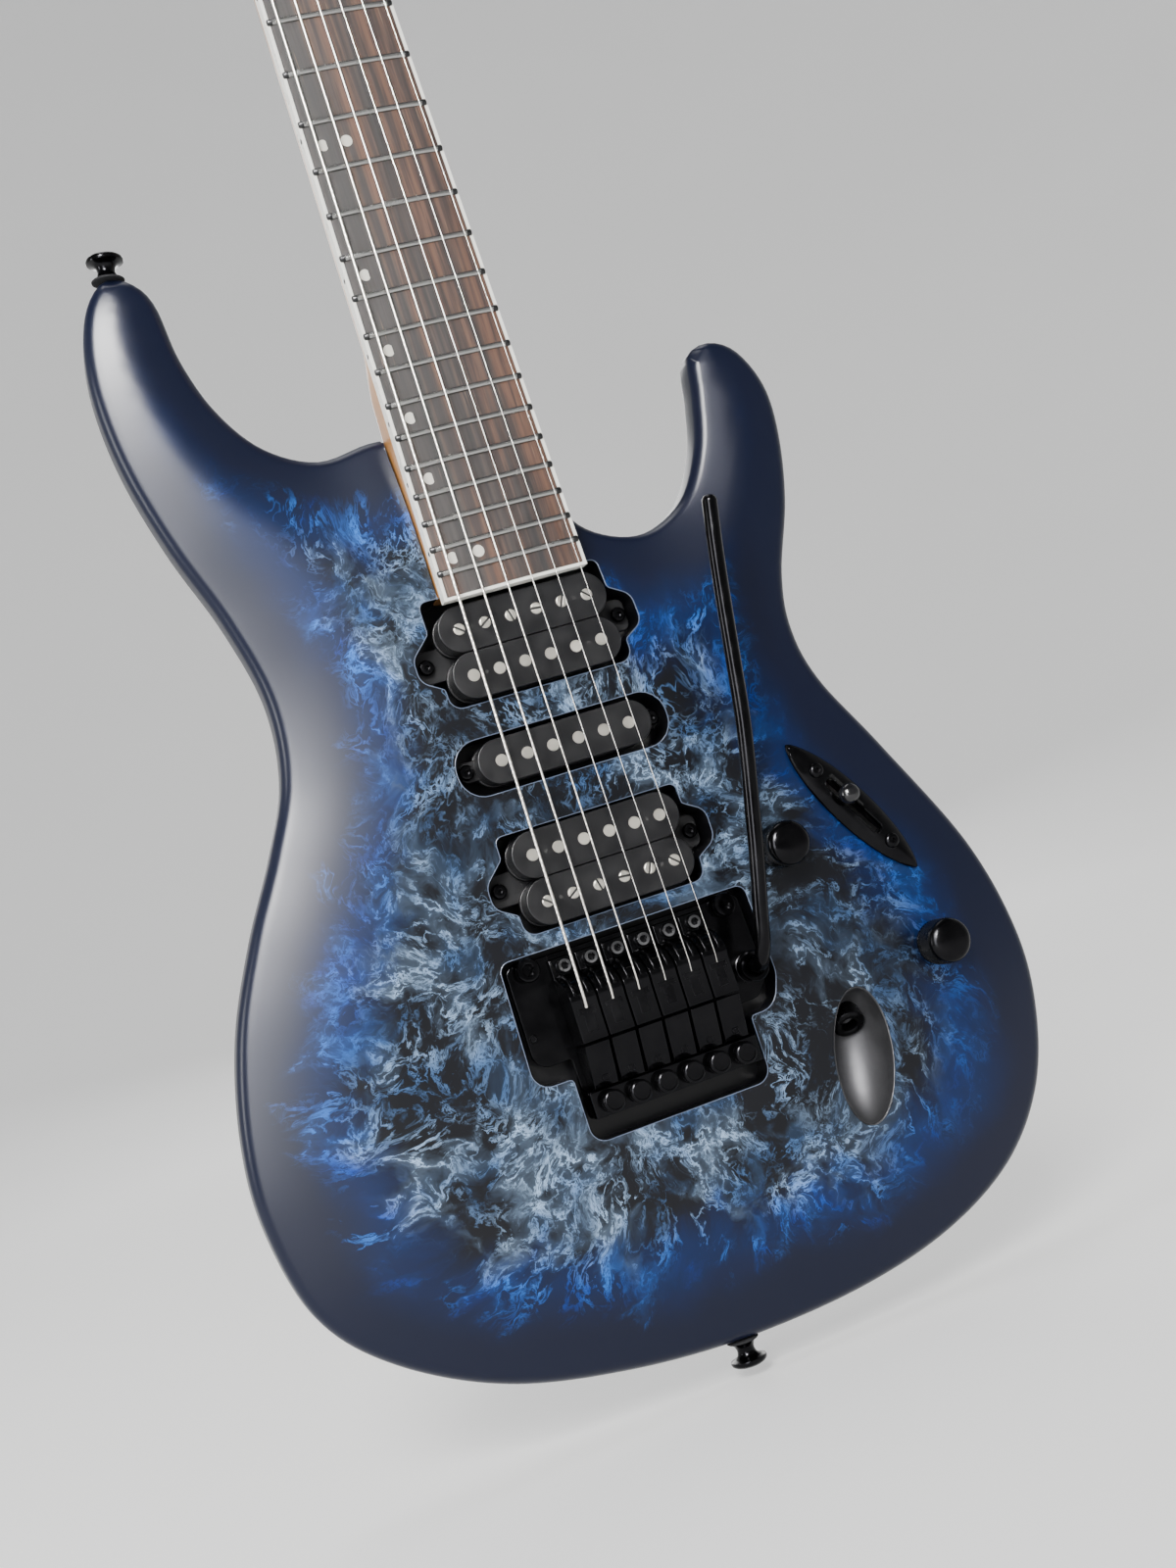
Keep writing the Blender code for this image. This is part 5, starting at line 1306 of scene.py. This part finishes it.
def make_pickup(name, centre_z, rows):
    """A pickup with one bobbin for each row; a row is (offset, whether its poles are screws)."""
    single = len(rows) == 1
    half_length = 35.5 if single else 34.4
    flanges, coil, slugs, screws, hole_shades, fixings = (bmesh.new() for _ in range(6))
    for offset, adjustable in rows:
        z = centre_z + offset
        half_width = 8.6 if single else 9.0
        add_bobbin(flanges, coil, half_length, z - half_width, z + half_width)
        for number in range(1, 7):
            place = (pole_x(number), PICKUP_TOP_Y + 0.05, z)
            if adjustable:
                add_slotted_screw(screws, place, (0, -1, 0), 2.35, 0.75, 0.5 + number * 1.9)
                # A near-black disc under each pole screw, seen through its slot: painted shade in the slot.
                add_turned(hole_shades, [(2.3, -1), (2.3, 0.15), (0, 0.15)], place, (0, -1, 0), 32)
            else:
                add_turned(slugs, [(2.4, -2), (2.4, 0.1), (2.25, 0.3), (0, 0.32)], place, (0, -1, 0), 32)
        if not single:
            for x in (-pole_x(1) + POLE_PITCH / 2, pole_x(1) - POLE_PITCH / 2):
                # Near-black discs on the top with no hole cut: painted shade standing in for holes.
                add_turned(hole_shades, [(0.75, -1), (0.75, 0.02), (0, 0.02)], (x, PICKUP_TOP_Y, z), (0, -1, 0), 16)
    ear = 41 if single else 44
    ear_z = 4 if single else 6.5
    ear_y = (15, 17) if single else (18, 20)
    add_prism(flanges, rounded([(-ear, centre_z - ear_z, 3), (ear, centre_z - ear_z, 3),
                                (ear, centre_z + ear_z, 3), (-ear, centre_z + ear_z, 3)]), *ear_y)
    for side in (-1, 1):
        x = side * (38.6 if single else 40)
        add_turned(fixings, [(1.7, -11), (1.7, 1.2), (3.0, 1.2), (3.0, 1.9), (2.5, 2.6), (1.3, 2.9),
                             (0.9, 2.8, 6),
                             (0.7, 1.6, 6), (0, 1.6)], (x, ear_y[0] - 0.2, centre_z), (0, -1, 0))
    piece(f"{name}_bobbins", flanges, "bobbin", "guitar", (name,), bevel=0.5)
    piece(f"{name}_coils", coil, "tape", "guitar", (name,))
    if any(adjustable for _, adjustable in rows):
        piece(f"{name}_pole_screws", screws, "pole_steel", "guitar", (name,), bevel=0.12)
    if not all(adjustable for _, adjustable in rows):
        piece(f"{name}_slugs", slugs, "pole_steel", "guitar", (name,))
    if hole_shades.verts:
        piece(f"{name}_holes", hole_shades, "painted_hole_shade", "guitar", (name,))
    piece(f"{name}_height_screws", fixings, "black_metal", "guitar", (name,))


# ---------------------------------------------------------------- controls and jack
def add_knurl(bm, radius, low_y, high_y, centre, count=88):
    """A band of diamond knurling about a -Y axis."""
    rows = max(4, round((low_y - high_y) / (2 * math.pi * radius / count)))
    rings = []
    for row in range(rows + 1):
        y = low_y + (high_y - low_y) * row / rows
        ring = []
        for step in range(count):
            angle = 2 * math.pi * step / count
            reach = radius - (0.34 if (step + row) % 2 else 0.0)
            x = centre.x + reach * math.cos(angle)
            z = centre.z + reach * math.sin(angle)
            ring.append(bm.verts.new((x, y, z)))
        rings.append(ring)
    for under, over in zip(rings, rings[1:]):
        for i in range(count):
            j = (i + 1) % count
            bm.faces.new((under[i], under[j], over[j], over[i]))
    bm.faces.new(rings[0])
    bm.faces.new(rings[-1])


def make_knobs():
    for name, place in (("volume_knob", VOLUME), ("tone_knob", TONE)):
        base = Vector((place.x, 7.6, place.z))
        bm = bmesh.new()
        add_turned(bm, [(2.9, -9.5), (2.9, 0), (8.5, 0), (8.8, 0.3), (8.8, 1.5), (8.45, 1.8), (8.45, 10.6),
                        (8.75, 10.8), (8.75, 11.6), (8.5, 12.4), (7.8, 13.2), (6.6, 13.9), (5.0, 14.3),
                        (3.0, 14.5), (0, 14.6)], base, (0, -1, 0), 72)
        piece(f"{name}_cap", bm, "black_metal", name, (name,))
        bm = bmesh.new()
        add_knurl(bm, 8.95, base.y - 1.9, base.y - 10.5, base)
        knurl = piece(f"{name}_grip", bm, "grip", name, (name,), angle=5)
        knurl.data.shade_flat()


def lens_outline(half_length, half_width, count=40):
    points = []
    for side in (-1, 1):
        for step in range(count + 1):
            t = 2 * step / count - 1
            width = half_width * (1 - abs(t) ** 2.2) ** 0.75 if abs(t) < 1 else 0.0
            place = switch_point(t * half_length * -side, 0, width * side)
            if abs(t) < 1 or side < 0:
                points.append((place.x, place.z))
    return points


def make_switch():
    loop = [Vector(p) for p in lens_outline(36.5, 8.6)]

    def crown(points):
        rise = np.minimum(distance_to(loop, points) / 7.0, 1.0)
        return front_surface(points) - 1.3 - 2.1 * (1.0 - (1.0 - rise) ** 2)

    bm = bmesh.new()
    inner = np.vstack([inset_ring(loop, 1.2), grid_inside(loop, 2.2, 2.2)])
    add_loft(bm, loop, inner, crown, lambda p: front_surface(p) - GAP)
    plate = piece("switch_lens", bm, "black_metal", "guitar", ("switch_plate",))
    slot = bmesh.new()
    slot_outline = rounded([(-14.6, -1.9, 1.8), (14.6, -1.9, 1.8), (14.6, 1.9, 1.8), (-14.6, 1.9, 1.8)])
    add_prism(slot, slot_outline, -5, 15)
    moved_by(slot, 0, Matrix.Translation((SWITCH.x, 0, SWITCH.z)) @ SWITCH_TURN)
    carved(plate, [slot])
    soften_edges(plate, 0.7, 3)

    bm = bmesh.new()
    add_box(bm, (-25, 22, -7), (-22, 40, 7))
    add_box(bm, (22, 22, -7), (25, 40, 7))
    add_box(bm, (-25, 37.5, -7), (25, 40, 7))
    for side in (-1, 1):
        edges = sorted((side * 2.4, side * 7))
        add_box(bm, (-22, 22, edges[0]), (22, 37.5, edges[1]))
    moved_by(bm, 0, Matrix.Translation((SWITCH.x, 0, SWITCH.z)) @ SWITCH_TURN)
    piece("switch_frame", bm, "zinc", "guitar", ("switch_plate",), bevel=0.3)

    bm = bmesh.new()
    for side in (-1, 1):
        place = switch_point(side * 20.7, 0)
        place.y = front_at(place.x, place.z) - 3.1
        add_turned(bm, [(1.5, -16), (1.5, 0), (3.1, 0), (3.1, 0.35), (2.8, 1.0), (2.2, 1.45), (1.2, 1.7),
                        (0.9, 1.6, 6), (0.7, 0.6, 6), (0, 0.6)], place, (0, -1, 0))
    piece("switch_screws", bm, "black_metal", "guitar", ("switch_plate",))

    lever_frame = (Matrix.Translation(SWITCH) @ SWITCH_TURN @ Matrix.Rotation(math.radians(-11), 4, "Z"))
    bm = bmesh.new()
    add_box(bm, (-1.6, -29, -1.2), (1.6, 2.0, 1.2))
    moved_by(bm, 0, lever_frame)
    piece("switch_blade", bm, "zinc", "switch_lever", ("switch_lever",), bevel=0.3)
    bm = bmesh.new()
    add_turned(bm, [(2.4, 27.6), (3.4, 28.2), (4.0, 28.7), (4.2, 29.4), (4.2, 30.6), (4.05, 31.5),
                    (3.6, 32.5),
                    (2.9, 33.2), (1.8, 33.75), (0, 34)], (0, 0, 0), (0, -1, 0), 40)
    moved_by(bm, 0, lever_frame)
    piece("switch_tip", bm, "gloss_black", "switch_lever", ("switch_lever",))


def make_jack():
    bm = bmesh.new()
    rings = []
    lips = ((12.2, 26.7, 3.0), (12.35, 26.85, 0.1), (12.2, 26.7, -0.15), (12.0, 26.5, -0.05),
            (11.85, 26.3, 0.3))
    bowl = []
    for step in range(1, 19):
        angle = math.pi / 2 * step / 19
        bowl.append((11.8 * math.cos(angle), 26.2 * math.cos(angle), 0.4 + 17.4 * math.sin(angle)))
    for half_width, half_length, depth in (*lips, *bowl):
        rings.append([bm.verts.new((x, JACK.y + depth, z)) for x, z in jack_ellipse(half_width, half_length)])
    for first, second in zip(rings, rings[1:]):
        for i in range(len(first)):
            j = (i + 1) % len(first)
            bm.faces.new((first[i], first[j], second[j], second[i]))
    bm.faces.new(rings[-1])
    piece("jack_dish", bm, "dish", "guitar", ("jack_cup",))
    bm = bmesh.new()
    add_turned(bm, [(6.6, -18), (6.6, 0.2), (6.2, 0.7), (5.2, 1.0), (3.9, 1.0), (3.3, 0.6), (3.2, -15),
                    (0, -15)],
               JACK_FACE, JACK_OUT, 48)
    piece("jack_socket", bm, "satin_metal", "guitar", ("jack_cup",))


# ---------------------------------------------------------------- trim
def make_strap_buttons():
    buttons = (("strap_button_upper", (-109.5, 24.5, -340.7), (0.12, 0, 1)),
               ("strap_button_lower", (-1.5, 25.0, -795.6), (0, 0, -1)))
    for name, place, axis in buttons:
        bm = bmesh.new()
        add_turned(bm, [(5.4, 0.7), (4.6, 1.5), (4.0, 2.4), (3.5, 3.6), (3.4, 4.6), (3.7, 5.8), (4.4, 6.8),
                        (5.8, 7.3), (7.0, 7.7), (7.2, 8.4), (6.9, 9.3), (6.0, 10.0), (4.8, 10.5), (3.4, 10.7),
                        (2.2, 10.1), (1.2, 9.9), (1.0, 9.2, 6), (0, 9.2)], place, axis, 48)
        piece(f"{name}_body", bm, "black_metal", "guitar", (name,))
        bm = bmesh.new()
        add_turned(bm, [(5.6, 0), (6.2, 0.2), (6.3, 0.7), (5.8, 1.1), (0, 1.1)], place, axis, 48)
        piece(f"{name}_felt", bm, "felt", "guitar", (name,))


def make_covers():
    for name, outline in (("tremolo_cover", tremolo_cover_outline(0)), ("control_cover", control_outline(5))):
        piece(f"{name}_panel", sheet_bm(outline, back_surface, -2.3, -GAP, 6.0), "cover", "guitar",
              (name,), bevel=0.35)
    screws = bmesh.new()
    places = [(x, z) for x in (-37.5, 37.5) for z in (-535, -605.5, -676)]
    places += [(57, -604), (97, -582), (136, -643), (124, -699), (95, -746), (57, -744)]
    for x, z in places:
        add_turned(screws, [(1.4, -4), (2.6, 0.0), (2.4, 0.5), (1.6, 0.8), (0.9, 0.85), (0.6, 0.2, 6),
                            (0, 0.2)],
                   (x, back_at(x, z) - GAP, z), (0, 1, 0), 24)
    piece("cover_screws", screws, "black_metal", "guitar", ("tremolo_cover", "control_cover"))


# ---------------------------------------------------------------- stage, lights and camera
def make_stage():
    """A pale bowl: level under the guitar and curving up into a low wall, so no corner shows."""
    bm = bmesh.new()
    floor_z = CAD_BOX[0].z - 0.004
    rings = []
    for step in range(33):
        radius = 0.02 + 7.5 * step / 32
        height = 0.28 * max(0.0, radius - 2.4) ** 2
        rings.append([bm.verts.new((radius * math.cos(a), radius * math.sin(a), floor_z + height))
                      for a in (2 * math.pi * k / 64 for k in range(64))])
    for first, second in zip(rings, rings[1:]):
        for i in range(64):
            j = (i + 1) % 64
            bm.faces.new((first[i], first[j], second[j], second[i]))
    bm.faces.new(reversed(rings[0]))
    mesh = bpy.data.meshes.new("studio_floor")
    bm.to_mesh(mesh)
    bm.free()
    mesh.shade_smooth()
    floor = bpy.data.objects.new("studio_floor", mesh)
    bpy.context.scene.collection.objects.link(floor)
    material, tree, shader = new_material("studio", roughness=0.9, specular=0.1)
    tone = noise(tree, object_space(tree), 2.0)
    pale = blend(tree, tone, (0.74, 0.74, 0.735), (0.78, 0.78, 0.775))
    # Painted light: the floor glows, its emission rising from 0.05 in front (-Y) to 0.5 behind (+Y), so it
    # looks pale behind the guitar but gives the guitar's front little to reflect.
    depth = add_node(tree, "ShaderNodeSeparateXYZ", {"Vector": object_space(tree)}).outputs["Y"]
    glow = step_between(tree, depth, -2.5, 1.2, 0.05, 0.5)
    connect(tree, shader, Base_Color=pale, Emission_Color=pale, Emission_Strength=glow)
    mesh.materials.append(material)


def add_light(name, place, target, size, power, colour=(1, 1, 1)):
    lamp = bpy.data.lights.new(name, "AREA")
    lamp.shape = "RECTANGLE"
    lamp.size, lamp.size_y = size
    lamp.energy = power
    lamp.color = colour
    obj = bpy.data.objects.new(name, lamp)
    obj.location = place
    obj.rotation_euler = (Vector(target) - Vector(place)).to_track_quat("-Z", "Y").to_euler()
    obj.visible_camera = False
    bpy.context.scene.collection.objects.link(obj)
    return obj


SHEEN_PLACE = (-0.75, -1.55, 0.42)      # where a gloss ray off the bass horn goes
SHEEN_SPREAD = 20                       # degrees
WORLD_STRENGTH = 0.18
LENS_MM = 43.64
SENSOR_MM = 36.0
CAMERA_PLACE = (-0.210524, -0.681685, -0.621469)
CAMERA_RIGHT = Vector((0.91265955, -0.26377901, -0.31220694))
CAMERA_UP = Vector((0.28140778, -0.14843696, 0.94803804))
CAMERA_BEHIND = Vector((-0.29641558, -0.95309344, -0.06124294))


def make_view():
    target = (0, 0.02, -0.55)
    add_light("key", SHEEN_PLACE, (-0.09, 0.0, -0.42), (0.75, 0.75), 48, (1.0, 0.99, 0.97))
    add_light("window", (-0.98, -1.62, -0.32), (-0.12, 0.0, -0.6), (0.55, 0.85), 22, (0.96, 0.97, 1.0))
    sheen = add_light("sheen", SHEEN_PLACE, (-0.2, 0.0, -0.46), (0.75, 0.85), 7, (1.0, 0.99, 0.97))
    sheen.visible_diffuse = False       # gloss only, so it adds sheen without lighting the paint
    sheen.data.spread = math.radians(SHEEN_SPREAD)
    add_light("edge_left", (-1.6, -0.1, -0.2), target, (0.3, 0.7), 12)
    add_light("edge_top", (0.0, 0.1, 1.6), target, (0.7, 0.5), 9)
    add_light("top", (0.4, 0.9, 2.3), target, (1.6, 1.0), 14)
    add_light("back_fill", (0.6, 2.6, 0.4), target, (1.6, 1.2), 22)
    world = bpy.data.worlds.new("studio")
    world.use_nodes = True
    world.node_tree.nodes["Background"].inputs["Color"].default_value = (0.93, 0.95, 1.0, 1)
    world.node_tree.nodes["Background"].inputs["Strength"].default_value = WORLD_STRENGTH
    bpy.context.scene.world = world

    lens = bpy.data.cameras.new("camera")
    lens.lens = LENS_MM
    lens.sensor_width = SENSOR_MM
    camera = bpy.data.objects.new("camera", lens)
    turn = Matrix((CAMERA_RIGHT, CAMERA_UP, CAMERA_BEHIND)).transposed().to_4x4()
    camera.matrix_world = Matrix.Translation(CAMERA_PLACE) @ turn
    bpy.context.scene.collection.objects.link(camera)
    bpy.context.scene.camera = camera


def dress_frame():
    """Materials for the CAD nodes that stay as they are."""
    kept = {"fingerboard_binding": "binding", "volume_pot": "zinc", "tone_pot": "zinc", "spring_claw": "zinc",
            "tremolo_spring_1": "zinc", "tremolo_spring_2": "zinc", "tremolo_spring_3": "zinc"}
    for name, material in kept.items():
        node = frame["nodes"][name]
        for entry in node.material_slots:
            entry.material = MATERIAL[material]


make_view()
dress_frame()
make_body()
make_neck()
make_fingerboard()
make_nut()
make_neck_plate()
make_tuners()
make_strings()
make_tremolo()
make_arm()
make_pickup("neck_pickup", NECK_PICKUP_Z, ((9.1, True), (-9.1, False)))
make_pickup("middle_pickup", MIDDLE_PICKUP_Z, ((0.0, False),))
make_pickup("bridge_pickup", BRIDGE_PICKUP_Z, ((9.1, False), (-9.1, True)))
make_knobs()
make_switch()
make_jack()
make_strap_buttons()
make_covers()
make_stage()
